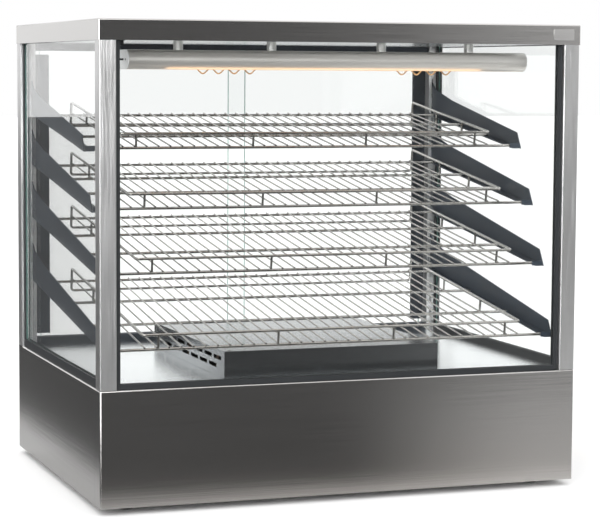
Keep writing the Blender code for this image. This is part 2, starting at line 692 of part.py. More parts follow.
def build_racks():
    """Four welded wire racks with a raised rim, each laid on its pair of ledges.

    A rack is modelled flat, with its front rod's axis as its own X axis.
    """
    rear_y = TRACK_FRONT - RACK_REAR_CLEARANCE
    rim_x = ROD_HALF_LENGTH - RIM_INSET
    deck_z = ROD / 2 + WIRE / 2 - WELD
    half_wire, half_leg, half_bar = WIRE / 2, (ROD - WELD) / 2, (ROD - WELD / 2) / 2
    stand_x = rim_x - FRONT_STAND_INSET
    for index, tier_y, tier_z in tier_places():
        length = (rear_y - tier_y) / math.cos(RACK_SLOPE)
        rod_places = span(0, length, CROSS_RODS)
        rods = [bar_x(ROD_HALF_LENGTH, y, 0, ROD) for y in rod_places]
        rack = add_object(f"rack_{index}", box_mesh(*rods), (0, tier_y, tier_z),
                          (RACK_SLOPE, 0, 0))
        wires = [((x - half_wire, -half_wire, deck_z - half_wire),
                  (x + half_wire, length + half_wire, deck_z + half_wire))
                 for x in span(-rim_x + DECK_WIRE_INSET, rim_x - DECK_WIRE_INSET, DECK_WIRES)]
        join(rack, box_mesh(*wires), "deck_wires")
        join(rack, box_mesh(bar_x(rim_x + ROD / 2, 0, RIM_HEIGHT, ROD),
                            bar_x(rim_x + ROD / 2, length, -RIM_DROP, ROD)), "rim_ends")
        sides = [((x - half_bar, 0, RIM_HEIGHT - half_bar),
                  (x + half_bar, length + half_bar, RIM_HEIGHT + half_bar))
                 for x in (-rim_x, rim_x)]
        join(rack, box_mesh(*sides), "rim_sides")
        legs = [(x, 0, 0) for x in span(-stand_x, stand_x, FRONT_STANDS)]
        legs += [(x, y, 0) for x in (-rim_x, rim_x) for y in rod_places[1:-1]]
        legs += [(x, length, -RIM_DROP) for x in (-rim_x, rim_x)]
        join(rack, box_mesh(*[((x - half_leg, y - half_leg, z), (x + half_leg, y + half_leg,
                                                                 RIM_HEIGHT))
                              for x, y, z in legs]), "legs")
        dress(rack, "chrome_wire")


def hood_outline(inset):
    """Section of the hood: flat top and bottom, with bulging front and rear."""
    bulge, half_height = HOOD_BULGE - inset, HOOD_HEIGHT / 2 - inset
    middle = HOOD_BOTTOM + HOOD_HEIGHT / 2
    angles = span(-math.pi / 2, math.pi / 2, HOOD_ARC_STEPS)
    rear = [(HOOD_FLAT + bulge * math.cos(a), half_height * math.sin(a)) for a in angles]
    outline = rear + [(-y, z) for y, z in reversed(rear)]
    return [(HOOD_Y + y, middle + z) for y, z in outline]


def build_hood():
    """Hollow lamp hood with two windows in its underside, and its four hangers."""
    inner_x = HOOD_HALF_LENGTH - HOOD_WALL
    hood = add_object("lamp_hood", prism_mesh(hood_outline(0), -HOOD_HALF_LENGTH,
                                              HOOD_HALF_LENGTH, 0))
    cut(hood, prism_mesh(hood_outline(HOOD_WALL), -inner_x, inner_x, 0), "hollow")
    window_y = HOOD_FLAT + WINDOW_PAST_FLAT
    windows = [((x - WINDOW_LENGTH / 2, HOOD_Y - window_y, HOOD_BOTTOM - OVERCUT),
                (x + WINDOW_LENGTH / 2, HOOD_Y + window_y, HOOD_BOTTOM + HOOD_HEIGHT / 3))
               for x in (-WINDOW_X, WINDOW_X)]
    cut(hood, box_mesh(*windows), "windows")
    dress(hood, "aluminium")
    hanger_profile = [(0, HOOD_TOP + GAP), (HANGER_RADIUS, HOOD_TOP + GAP),
                      (HANGER_RADIUS, CEILING_Z), (0, CEILING_Z)]
    outer = HOOD_HALF_LENGTH - OUTER_HANGER_INSET
    for index, x in enumerate((-outer, -INNER_HANGER_X, INNER_HANGER_X, outer), start=1):
        hanger = add_object(f"hood_hanger_{index}", turned_mesh(hanger_profile, 16),
                            (x, HOOD_Y, 0))
        round_off(hanger)
        dress(hanger, "aluminium")


def build_lamps():
    """Two quartz lamps hung inside the hood, and the wavy wire guard below them."""
    tip = LAMP_LENGTH / 2
    neck = tip - LAMP_CAP_LENGTH
    half_profile = [(0, tip), (LAMP_CAP_RADIUS, tip), (LAMP_CAP_RADIUS, neck), (LAMP_RADIUS, neck)]
    profile = half_profile + [(radius, -height) for radius, height in reversed(half_profile)]
    holder_x, holder_y = neck + LAMP_CAP_LENGTH / 2, LAMP_HOLDER_WIDTH / 2
    hang = HOOD_HEIGHT / 2 - HOOD_WALL - GAP
    holders = [((x - LAMP_HOLDER_SHEET / 2, -holder_y, 0),
                (x + LAMP_HOLDER_SHEET / 2, holder_y, hang)) for x in (-holder_x, holder_x)]
    for side, way in (("left", -1), ("right", 1)):
        lamp = add_object(f"lamp_{side}", turned_mesh(profile, 12, (1, 0, 0), (0, 0, 1)),
                          (way * WINDOW_X, HOOD_Y, HOOD_BOTTOM + HOOD_HEIGHT / 2))
        join(lamp, box_mesh(*holders), "holders")
        round_off(lamp)
        dress(lamp, "quartz")
    crest, trough = HOOD_BOTTOM + HOOD_WALL + GUARD_WIRE / 2 + GAP, HOOD_BOTTOM - GUARD_HANG
    middle, swing = (crest + trough) / 2, (crest - trough) / 2
    wave = []
    for index in range(GUARD_LOOPS * GUARD_STEPS + 1):
        turn = index / GUARD_STEPS
        wave.append(((turn - GUARD_LOOPS / 2) * GUARD_PITCH,
                     middle + swing * math.cos(math.tau * turn)))
    points = [(centre + x, HOOD_Y, z) for centre in (-WINDOW_X, WINDOW_X) for x, z in wave]
    add_tube("lamp_guard", points, GUARD_WIRE / 2, "chrome_wire", 1)


def build_duct():
    """Slotted sheet-metal duct that stands on the deck over the fan's outlet."""
    front, rear = -BODY_Y + DUCT_FROM_FRONT, BODY_Y - DUCT_FROM_REAR
    low = DECK_TOP + GAP
    top = low + DUCT_HEIGHT
    duct = add_sheet_box("duct_cover", (-DUCT_HALF_WIDTH, front, low),
                         (DUCT_HALF_WIDTH, rear, top), ["bottom"])
    for row, (drop, shift) in enumerate(DUCT_SLOT_ROWS, start=1):
        first = front + DUCT_SLOT_END + shift * DUCT_SLOT_PITCH
        room = rear - DUCT_SLOT_END - DUCT_SLOT_LENGTH - first
        starts = [first + DUCT_SLOT_PITCH * index for index in range(int(room / DUCT_SLOT_PITCH) + 1)]
        z = top - drop
        slots = [((-DUCT_HALF_WIDTH - OVERCUT, y, z - DUCT_SLOT_HEIGHT / 2),
                  (DUCT_HALF_WIDTH + OVERCUT, y + DUCT_SLOT_LENGTH, z + DUCT_SLOT_HEIGHT / 2))
                 for y in starts]
        cut(duct, box_mesh(*slots), f"slots_{row}")


def element_leg(way, reach, y, z):
    """Points of the element's end: up from the deck and round into its run."""
    points = [(way * reach, y, DECK_TOP + GAP)]
    for step in range(ELEMENT_BEND_STEPS + 1):
        angle = math.pi / 2 * step / ELEMENT_BEND_STEPS
        points.append((way * (reach - ELEMENT_LEG_BEND * (1 - math.cos(angle))), y,
                       z - ELEMENT_LEG_BEND * (1 - math.sin(angle))))
    return points


def build_element():
    """Tubular heating element in the duct, bent to and fro and stood on its two ends."""
    z = DECK_TOP + ELEMENT_RAISE
    bend = ELEMENT_RUN_PITCH / 2
    reach = DUCT_HALF_WIDTH - ELEMENT_END_CLEARANCE
    first_y = FAN_Y - ELEMENT_RUN_PITCH * (ELEMENT_RUNS - 1) / 2
    points = element_leg(-1, reach, first_y, z)
    for run in range(ELEMENT_RUNS - 1):
        way = 1 if run % 2 == 0 else -1
        y = first_y + run * ELEMENT_RUN_PITCH
        for step in range(ELEMENT_BEND_STEPS + 1):
            angle = math.pi * step / ELEMENT_BEND_STEPS
            points.append((way * (reach - bend + bend * math.sin(angle)),
                           y + bend * (1 - math.cos(angle)), z))
    last_y = first_y + ELEMENT_RUN_PITCH * (ELEMENT_RUNS - 1)
    last_way = 1 if ELEMENT_RUNS % 2 else -1
    points += reversed(element_leg(last_way, reach, last_y, z))
    add_tube("heating_element", points, ELEMENT_RADIUS, "element_steel")


def cylinder_mesh(radius, low, high, steps=24):
    """A closed cylinder along Z."""
    return turned_mesh([(0, low), (radius, low), (radius, high), (0, high)], steps)


def build_fan():
    """Axial fan under the deck: a frame with its motor, and the impeller."""
    top = SEAT_Z - GAP
    half = FAN_BORE + FAN_WALL
    floor = top - FAN_DEPTH
    frame = add_object("fan_frame", box_mesh(((-half, -half, -FAN_DEPTH), (half, half, 0))),
                       (0, FAN_Y, top))
    cut(frame, cylinder_mesh(FAN_BORE, -FAN_DEPTH - OVERCUT, OVERCUT), "bore")
    low = -FAN_DEPTH + WELD
    strut, arm = STRUT_WIDTH / 2, FAN_BORE + POST_WALL
    join(frame, box_mesh(((-arm, -strut, low), (arm, strut, low + STRUT_DEPTH))), "strut_x")
    join(frame, box_mesh(((-strut, -arm, low + WELD / 2), (strut, arm, low + STRUT_DEPTH - WELD))),
         "strut_y")
    join(frame, cylinder_mesh(MOTOR_RADIUS, low + WELD, low + MOTOR_DEPTH), "motor")
    dress(frame, "black_plastic")
    axis = add_axis("fan_axis", (0, FAN_Y, floor + MOTOR_DEPTH + WELD + 2 * GAP))
    impeller = add_object("fan_impeller", cylinder_mesh(IMPELLER_HUB, 0, IMPELLER_DEPTH),
                          parent=axis)
    blades = bmesh.new()
    root = IMPELLER_HUB - BLADE_ROOT
    for index in range(IMPELLER_BLADES):
        blade = add_box(blades, (root, -BLADE_CHORD / 2, -BLADE_SHEET / 2),
                        (IMPELLER_RADIUS, BLADE_CHORD / 2, BLADE_SHEET / 2))
        pose = (Matrix.Rotation(math.tau * index / IMPELLER_BLADES, 4, "Z")
                @ Matrix.Translation((0, 0, IMPELLER_DEPTH / 2))
                @ Matrix.Rotation(BLADE_PITCH, 4, "X"))
        bmesh.ops.transform(blades, matrix=pose, verts=blade)
    join(impeller, blades, "blades")
    dress(impeller, "black_plastic")


def panel_box(x, size, low_y, high_y):
    """Corners of a box centred on a place across the control panel."""
    half_x, half_z = size[0] / 2, size[1] / 2
    return ((CONTROL_X + x - half_x, low_y, CONTROL_Z - half_z),
            (CONTROL_X + x + half_x, high_y, CONTROL_Z + half_z))


def build_controls():
    """Recessed control panel with thermostat, display, switches and mains inlet."""
    back = CONTROL_FLOOR - SHEET
    edge_x, edge_z = CONTROL_HALF_WIDTH + SHEET, CONTROL_HALF_HEIGHT + SHEET
    panel = add_sheet_box("control_panel", (CONTROL_X - edge_x, back, CONTROL_Z - edge_z),
                          (CONTROL_X + edge_x, CONTROL_REAR, CONTROL_Z + edge_z), ["back"])
    through = (back - OVERCUT, CONTROL_FLOOR + OVERCUT)
    opening = 2 * GAP
    inlet_body = grown(INLET_SOCKET, (INLET_WALL, INLET_WALL))
    windows = [panel_box(INLET_X, [side + opening for side in inlet_body], *through)]
    rocker_places = (("power_rocker", SWITCH_X - SWITCH_PITCH / 2),
                     ("lamp_rocker", SWITCH_X + SWITCH_PITCH / 2))
    windows += [panel_box(x, ROCKER_WINDOW, *through) for _, x in rocker_places]
    cut(panel, box_mesh(*windows), "windows")
    shaft_x = CONTROL_X + KNOB_X
    bearing = turned_mesh([(0, -OVERCUT), (SHAFT_RADIUS + SHAFT_CLEARANCE, -OVERCUT),
                           (SHAFT_RADIUS + SHAFT_CLEARANCE, OVERCUT), (0, OVERCUT)],
                          16, (0, 1, 0))
    bmesh.ops.translate(bearing, verts=bearing.verts, vec=(shaft_x, back, CONTROL_Z))
    cut(panel, bearing, "shaft_hole")

    half = THERMOSTAT_SIZE / 2
    body = add_object("thermostat_body", box_mesh(((-half, -THERMOSTAT_DEPTH, -half),
                                                   (half, 0, half))),
                      (shaft_x, back - GAP, CONTROL_Z))
    shaft_end = CONTROL_FLOOR + SHAFT_LENGTH - (back - GAP)
    join(body, turned_mesh([(0, -OVERCUT), (SHAFT_RADIUS, -OVERCUT), (SHAFT_RADIUS, shaft_end),
                            (0, shaft_end)], 16, (0, 1, 0)), "shaft")
    dress(body, "black_plastic")

    axis = add_axis("knob_axis", (shaft_x, CONTROL_FLOOR + 2 * GAP, CONTROL_Z))
    bore = SHAFT_RADIUS + SHAFT_CLEARANCE
    blind = SHAFT_LENGTH + SHAFT_CLEARANCE
    knob = add_object("thermostat_knob",
                      turned_mesh([(0, blind), (bore, blind), (bore, 0), (KNOB_RADIUS, 0),
                                   (KNOB_RADIUS - KNOB_SKIRT, KNOB_LENGTH - KNOB_SKIRT),
                                   (KNOB_RADIUS - 2 * KNOB_SKIRT, KNOB_LENGTH), (0, KNOB_LENGTH)],
                                  32, (0, 1, 0)), parent=axis)
    round_off(knob)
    dress(knob, "black_plastic")

    front = CONTROL_FLOOR + GAP
    display = add_object("temperature_display",
                         box_mesh(panel_box(DISPLAY_X, grown(DISPLAY_WINDOW, DISPLAY_MARGIN),
                                            front, front + DISPLAY_DEPTH)))
    cut(display, box_mesh(panel_box(DISPLAY_X, DISPLAY_WINDOW,
                                    front + DISPLAY_DEPTH - DISPLAY_RECESS,
                                    front + DISPLAY_DEPTH + OVERCUT)), "lens_recess")
    dress(display, "black_plastic")

    both_windows = (SWITCH_PITCH + ROCKER_WINDOW[0], ROCKER_WINDOW[1])
    frame = add_object("switch_frame",
                       box_mesh(panel_box(SWITCH_X, grown(both_windows, SWITCH_MARGIN), front,
                                          front + SWITCH_FRAME_DEPTH)))
    cut(frame, box_mesh(*[panel_box(x, ROCKER_WINDOW, front - OVERCUT,
                                    front + SWITCH_FRAME_DEPTH + OVERCUT)
                          for _, x in rocker_places]), "rocker_windows")
    dress(frame, "black_plastic")
    back_half = ROCKER_HALF_HEIGHT - ROCKER_TAPER
    rocker = [(-ROCKER_BACK, -back_half), (ROCKER_CREST, -ROCKER_HALF_HEIGHT),
              (ROCKER_VALLEY, 0), (ROCKER_CREST, ROCKER_HALF_HEIGHT), (-ROCKER_BACK, back_half)]
    pivot_y = front + SWITCH_FRAME_DEPTH / 2
    for name, x in rocker_places:
        axis = add_axis(f"{name}_axis", (CONTROL_X + x, pivot_y, CONTROL_Z))
        piece = add_object(name, prism_mesh(rocker, -ROCKER_WIDTH / 2, ROCKER_WIDTH / 2, 0),
                           rotation=(-ROCKER_TILT, 0, 0), parent=axis)
        dress(piece, "red_plastic" if name == "power_rocker" else "black_plastic")

    inlet = add_object("power_inlet", box_mesh(panel_box(INLET_X, INLET_FLANGE, front,
                                                         front + INLET_FLANGE_DEPTH)))
    socket_floor = front + INLET_FLANGE_DEPTH - INLET_SOCKET_DEPTH
    join(inlet, box_mesh(panel_box(INLET_X, inlet_body, socket_floor - INLET_FLOOR,
                                   front + INLET_FLANGE_DEPTH / 2)), "body")
    cut(inlet, box_mesh(panel_box(INLET_X, INLET_SOCKET, socket_floor, front + OVERCUT)),
        "socket")
    dress(inlet, "black_plastic")


def main():
    """Build every piece of the case."""
    clear_scene()
    build_feet()
    build_base()
    build_deck_and_ceiling()
    build_posts()
    build_cap()
    build_fixed_glass()
    build_doors()
    build_brackets()
    build_racks()
    build_hood()
    build_lamps()
    build_duct()
    build_element()
    build_fan()
    build_controls()


main()
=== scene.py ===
"""Looks of a countertop hot food display case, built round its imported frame.

Units are metres. +X is to the customer's right, -Y towards the customer and +Z up.
Each sub-assembly is a class that builds and dresses its own pieces.
"""

from __future__ import annotations

import logging
import math
from dataclasses import dataclass
from enum import Enum
from typing import Iterable, Sequence

import bmesh
import bpy
from mathutils import Matrix, Vector

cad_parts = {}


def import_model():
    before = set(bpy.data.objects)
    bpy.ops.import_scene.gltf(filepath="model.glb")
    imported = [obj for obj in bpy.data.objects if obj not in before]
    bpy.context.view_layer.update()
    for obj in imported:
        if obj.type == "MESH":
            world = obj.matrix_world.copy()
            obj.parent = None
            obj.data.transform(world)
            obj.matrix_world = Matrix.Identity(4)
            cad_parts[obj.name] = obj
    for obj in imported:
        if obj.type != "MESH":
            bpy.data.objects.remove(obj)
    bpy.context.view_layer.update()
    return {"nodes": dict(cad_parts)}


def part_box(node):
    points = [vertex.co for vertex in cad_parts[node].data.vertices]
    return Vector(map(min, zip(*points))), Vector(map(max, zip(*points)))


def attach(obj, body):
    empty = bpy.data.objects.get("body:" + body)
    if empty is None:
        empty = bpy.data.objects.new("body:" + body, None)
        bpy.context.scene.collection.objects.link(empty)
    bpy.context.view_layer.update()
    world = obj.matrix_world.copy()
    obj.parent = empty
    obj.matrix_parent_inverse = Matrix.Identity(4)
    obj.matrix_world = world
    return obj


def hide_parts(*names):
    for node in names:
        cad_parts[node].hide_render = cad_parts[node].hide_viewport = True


log = logging.getLogger("case")

Point = Sequence[float]
Colour = tuple[float, float, float]

CABINET = "cabinet"
GAP = 0.0002


class Grain(Enum):
    """The way that the polishing lines run on a sheet."""

    HORIZONTAL = "horizontal"
    VERTICAL = "vertical"


# ---- shader graph ----


class Socket:
    """A value on its way through a material, with arithmetic that adds Math nodes."""

    def __init__(self, graph: Graph, output: bpy.types.NodeSocket) -> None:
        """Keep the graph and the output that this value comes from."""
        self.graph = graph
        self.output = output

    def _maths(self, operation: str, first: object, second: object = 0.0) -> Socket:
        """Add one Math node and return its result."""
        return self.graph.add("ShaderNodeMath", {"operation": operation}, {0: first, 1: second})

    def __add__(self, other: object) -> Socket:
        """Return the sum."""
        return self._maths("ADD", self, other)

    __radd__ = __add__

    def __sub__(self, other: object) -> Socket:
        """Return the difference."""
        return self._maths("SUBTRACT", self, other)

    def __rsub__(self, other: object) -> Socket:
        """Return the difference from a plain number."""
        return self._maths("SUBTRACT", other, self)

    def __mul__(self, other: object) -> Socket:
        """Return the product."""
        return self._maths("MULTIPLY", self, other)

    __rmul__ = __mul__

    def __truediv__(self, other: object) -> Socket:
        """Return the quotient."""
        return self._maths("DIVIDE", self, other)

    def __pow__(self, other: object) -> Socket:
        """Return the power."""
        return self._maths("POWER", self, other)

    def __abs__(self) -> Socket:
        """Return the size without its sign."""
        return self._maths("ABSOLUTE", self)

    def above(self, limit: float) -> Socket:
        """Return 1 where the value is above a limit, else 0."""
        return self._maths("GREATER_THAN", self, limit)


class Graph:
    """A material's or the world's node tree, filled one node at a time."""

    def __init__(self, tree: bpy.types.NodeTree) -> None:
        """Empty a node tree and take it over."""
        self.tree = tree
        tree.nodes.clear()

    def add(self, kind: str, settings: dict | None = None, inputs: dict | None = None,
            output: int | str = 0) -> Socket:
        """Add a node.

        Args:
            kind: The node's type name.
            settings: Properties to set first; "stops" gives a ramp's places and colours.
            inputs: Values or sockets for the node's inputs, by index or name.
            output: The output to return.

        Returns:
            The chosen output; a node that ends the tree has none.
        """
        node = self.tree.nodes.new(kind)
        for name, value in (settings or {}).items():
            if name == "stops":
                self._set_stops(node.color_ramp, value)
            else:
                setattr(node, name, value)
        for name, value in (inputs or {}).items():
            if isinstance(value, Socket):
                self.tree.links.new(value.output, node.inputs[name])
            else:
                node.inputs[name].default_value = value
        return Socket(self, node.outputs[output]) if node.outputs else None

    @staticmethod
    def _set_stops(ramp: bpy.types.ColorRamp, stops: Sequence[tuple[float, Colour]]) -> None:
        """Write a colour ramp's stops."""
        while len(ramp.elements) < len(stops):
            ramp.elements.new(1.0)
        for element, (place, colour) in zip(ramp.elements, stops):
            element.position = place
            element.color = (*colour, 1.0)

    def object_place(self) -> Socket:
        """Return the Object coordinates."""
        return self.add("ShaderNodeTexCoord", output="Object")

    def part(self, vector: Socket, axis: str) -> Socket:
        """Return one of a vector's three numbers."""
        return self.add("ShaderNodeSeparateXYZ", inputs={0: vector}, output=axis)

    def noise(self, scale: Point, detail: float = 2.0, place: Socket | None = None) -> Socket:
        """Return noise from 0 to 1.

        Args:
            scale: Features for each metre along X, Y and Z.
            detail: Number of octaves.
            place: Coordinates, if not the object's own.

        Returns:
            The noise's value.
        """
        mapped = self.add("ShaderNodeMapping", inputs={0: place or self.object_place(),
                                                       "Scale": tuple(scale)})
        return self.add("ShaderNodeTexNoise", inputs={"Vector": mapped, "Scale": 1.0,
                                                      "Detail": detail})

    def mix(self, share: Socket | float, low: Socket | Colour, high: Socket | Colour) -> Socket:
        """Return a colour between two others."""
        low, high = (item if isinstance(item, Socket) else (*item, 1.0) for item in (low, high))
        return self.add("ShaderNodeMix", {"data_type": "RGBA"}, {0: share, 6: low, 7: high}, 2)

    def ramp(self, value: Socket, start: float, stop: float) -> Socket:
        """Return a smooth rise from 0 to 1 between two values."""
        return self.add("ShaderNodeMapRange", {"interpolation_type": "SMOOTHSTEP"},
                        {0: value, 1: start, 2: stop})

    def bump(self, height: Socket, depth: float, strength: float = 1.0) -> Socket:
        """Return a normal raised by a height of at most depth metres."""
        return self.add("ShaderNodeBump", inputs={"Height": height, "Distance": depth,
                                                  "Strength": strength})

    def principled(self, **inputs: object) -> Socket:
        """Return a Principled shader; an input's name is written with underscores."""
        values = {name.replace("_", " "): value for name, value in inputs.items()}
        for name in ("Base Color", "Emission Color"):
            if isinstance(values.get(name), tuple):
                values[name] = (*values[name], 1.0)
        return self.add("ShaderNodeBsdfPrincipled", inputs=values)


# ---- finishes ----


@dataclass(frozen=True)
class Finish:
    """A surface finish, made into one material the first time that it is used."""

    def build(self, graph: Graph) -> Socket:
        """Return the finish's shader."""
        raise NotImplementedError

    def material(self) -> bpy.types.Material:
        """Return this finish's material."""
        if self not in _made:
            name = f"{type(self).__name__}_{len(_made):02d}"
            material = bpy.data.materials.new(name)
            material.use_nodes = True
            graph = Graph(material.node_tree)
            graph.add("ShaderNodeOutputMaterial", inputs={0: self.build(graph)})
            _made[self] = material
        return _made[self]


_made: dict[Finish, bpy.types.Material] = {}


def scaled(colour: Colour, factor: float, lift: float = 0.0) -> Colour:
    """Return a colour made darker or lighter, and lifted."""
    return tuple(min(1.0, value * factor + lift) for value in colour)


@dataclass(frozen=True)
class BrushedSteel(Finish):
    """Stainless sheet, whose fine polishing lines spread what it mirrors across the grain."""

    grain: Grain = Grain.HORIZONTAL
    colour: Colour = (0.52, 0.51, 0.50)
    roughness: float = 0.16
    spread: float = 0.08
    tilt: float = 0.16
    lines: float = 2400.0
    band_share: float = 0.1
    run: float = 7.0
    cloud: float = 2.2
    contrast: float = 0.07
    face_limit: float = 0.7

    def _streaks(self, graph: Graph, share: float, side: Socket, flat: Socket) -> Socket:
        """Return streaks that follow the grain on every face.

        Args:
            graph: The material's graph.
            share: Fineness, as a share of the finest lines.
            side: 1 on faces that look along X.
            flat: 1 on faces that look along Z.

        Returns:
            The streaks, from 0 to 1.
        """
        fine, along = self.lines * share, self.run
        along_x = graph.noise((along, fine, fine), 3.0)
        if self.grain is Grain.VERTICAL:
            along_z = graph.noise((fine, fine, along), 3.0)
            return along_z * (1 - flat) + along_x * flat
        along_y = graph.noise((fine, along, fine), 3.0)
        return along_y * side + along_x * (1 - side)

    def build(self, graph: Graph) -> Socket:
        """Return the finish's shader."""
        outward = graph.add("ShaderNodeTexCoord", output="Normal")
        side = abs(graph.part(outward, "X")).above(self.face_limit)
        flat = abs(graph.part(outward, "Z")).above(self.face_limit)
        streaks = self._streaks(graph, 1.0, side, flat)
        wide = self._streaks(graph, self.band_share, side, flat)
        cloud = graph.noise((self.cloud,) * 3, 2.0)
        tone = streaks * 0.75 + wide * 0.05 + cloud * 0.2
        colour = graph.mix(tone, scaled(self.colour, 1 - self.contrast),
                           scaled(self.colour, 1 + self.contrast))
        across = ({"X": (1 - side) * (1 - flat), "Y": 1 - (1 - side) * (1 - flat)}
                  if self.grain is Grain.VERTICAL else {"Y": flat, "Z": 1 - flat})
        way = graph.add("ShaderNodeCombineXYZ", inputs=across)
        lean = graph.add("ShaderNodeVectorMath", {"operation": "SCALE"},
                         {0: way, "Scale": (streaks - 0.5) * self.tilt})
        leaning = graph.add("ShaderNodeVectorMath", {"operation": "ADD"},
                            {0: graph.add("ShaderNodeNewGeometry", output="Normal"), 1: lean})
        normal = graph.add("ShaderNodeVectorMath", {"operation": "NORMALIZE"}, {0: leaning})
        return graph.principled(Base_Color=colour, Metallic=1.0, Normal=normal,
                                Roughness=self.roughness + streaks * self.spread)


@dataclass(frozen=True)
class Clouded(Finish):
    """A finish whose tone and gloss drift in clouds, over a fine grain.

    The relief comes from the grain, or from the clouds themselves where the grain is 0.
    """

    colour: Colour = (0.5, 0.5, 0.5)
    roughness: float = 0.4
    spread: float = 0.1
    metallic: float = 0.0
    clouds: tuple[float, float, float] = (14.0, 14.0, 14.0)
    octaves: float = 2.0
    darkest: float = 1.0
    lightest: float = 1.0
    lift: float = 0.0
    grain: float = 0.0
    grain_octaves: float = 1.0
    depth: float = 0.0
    strength: float = 0.4

    def build(self, graph: Graph) -> Socket:
        """Return the finish's shader."""
        cloud = graph.noise(self.clouds, self.octaves)
        colour = graph.mix(cloud, scaled(self.colour, self.darkest),
                           scaled(self.colour, self.lightest, self.lift))
        relief = {}
        if self.depth:
            grain = graph.noise((self.grain,) * 3, self.grain_octaves) if self.grain else cloud
            relief["Normal"] = graph.bump(grain, self.depth, self.strength)
        return graph.principled(Base_Color=colour, Metallic=self.metallic,
                                Roughness=self.roughness + cloud * self.spread, **relief)


@dataclass(frozen=True)
class SatinSheet(Clouded):
    """Coated sheet steel with a soft sheen and a faint orange-peel."""

    colour: Colour = (0.040, 0.052, 0.070)
    roughness: float = 0.37
    metallic: float = 0.35
    clouds: tuple[float, float, float] = (9.0, 9.0, 9.0)
    octaves: float = 3.0
    darkest: float = 0.8
    lightest: float = 1.25
    grain: float = 900.0
    depth: float = 0.00003


@dataclass(frozen=True)
class BrightWire(Clouded):
    """Plated wire, a little darker where it is handled."""

    colour: Colour = (0.60, 0.585, 0.56)
    roughness: float = 0.16
    metallic: float = 1.0
    clouds: tuple[float, float, float] = (35.0, 35.0, 35.0)
    darkest: float = 0.72
    grain: float = 1400.0
    depth: float = 0.00002
    strength: float = 0.3


@dataclass(frozen=True)
class GlassEdge(Clouded):
    """Ground edge of a toughened pane, seen as a sea-green line."""

    colour: Colour = (0.16, 0.30, 0.27)
    roughness: float = 0.25
    clouds: tuple[float, float, float] = (60.0, 60.0, 60.0)
    lightest: float = 1.5


@dataclass(frozen=True)
class Moulded(Clouded):
    """Moulded plastic or rubber with a fine grain."""

    colour: Colour = (0.016, 0.018, 0.020)
    lightest: float = 1.35
    lift: float = 0.002
    grain: float = 1500.0
    grain_octaves: float = 2.0
    depth: float = 0.00004
    strength: float = 0.5


@dataclass(frozen=True)
class Aluminium(Clouded):
    """Satin extrusion with fine draw lines along X."""

    colour: Colour = (0.62, 0.605, 0.58)
    roughness: float = 0.34
    spread: float = 0.08
    metallic: float = 1.0
    clouds: tuple[float, float, float] = (5.0, 1300.0, 1300.0)
    octaves: float = 3.0
    darkest: float = 0.88
    depth: float = 0.00003


@dataclass(frozen=True)
class ClearGlass(Finish):
    """Thin clear pane: a faint tint, with a reflection that grows towards the edge."""

    tint: Colour = (0.994, 0.999, 0.997)
    least: float = 0.016
    smoothest: float = 0.01
    smears: float = 0.012

    def build(self, graph: Graph) -> Socket:
        """Return the finish's shader."""
        facing = graph.add("ShaderNodeLayerWeight", inputs={"Blend": 0.5}, output="Facing")
        mirror = self.least + (1 - self.least) * facing ** 5
        smear = graph.noise((4.0, 4.0, 7.0), 4.0)
        clear = graph.add("ShaderNodeBsdfTransparent", inputs={0: (*self.tint, 1.0)})
        gloss = graph.add("ShaderNodeBsdfGlossy", inputs={
            "Color": (1.0, 1.0, 1.0, 1.0), "Roughness": self.smoothest + smear * self.smears})
        return graph.add("ShaderNodeMixShader", inputs={0: mirror, 1: clear, 2: gloss})


@dataclass(frozen=True)
class Glow(Finish):
    """A lit surface, a little uneven."""

    colour: Colour = (1.0, 0.62, 0.26)
    strength: float = 3.0
    deepest: float = 0.72

    def build(self, graph: Graph) -> Socket:
        """Return the finish's shader."""
        cloud = graph.noise((220.0, 220.0, 220.0), 2.0)
        deep = scaled(self.colour, self.deepest)
        return graph.principled(Base_Color=self.colour, Roughness=0.4,
                                Emission_Color=graph.mix(cloud, deep, self.colour),
                                Emission_Strength=self.strength)


@dataclass(frozen=True)
class HeatedSheath(Finish):
    """Element sheath that heat has browned."""

    brown: Colour = (0.09, 0.065, 0.05)
    pale: Colour = (0.22, 0.17, 0.15)
    metallic: float = 0.85
    roughness: float = 0.38
    spread: float = 0.2

    def build(self, graph: Graph) -> Socket:
        """Return the finish's shader."""
        bands = graph.noise((14.0, 30.0, 14.0), 3.0)
        colour = graph.mix(bands, self.brown, self.pale)
        return graph.principled(Base_Color=colour, Metallic=self.metallic,
                                Roughness=self.roughness + bands * self.spread)


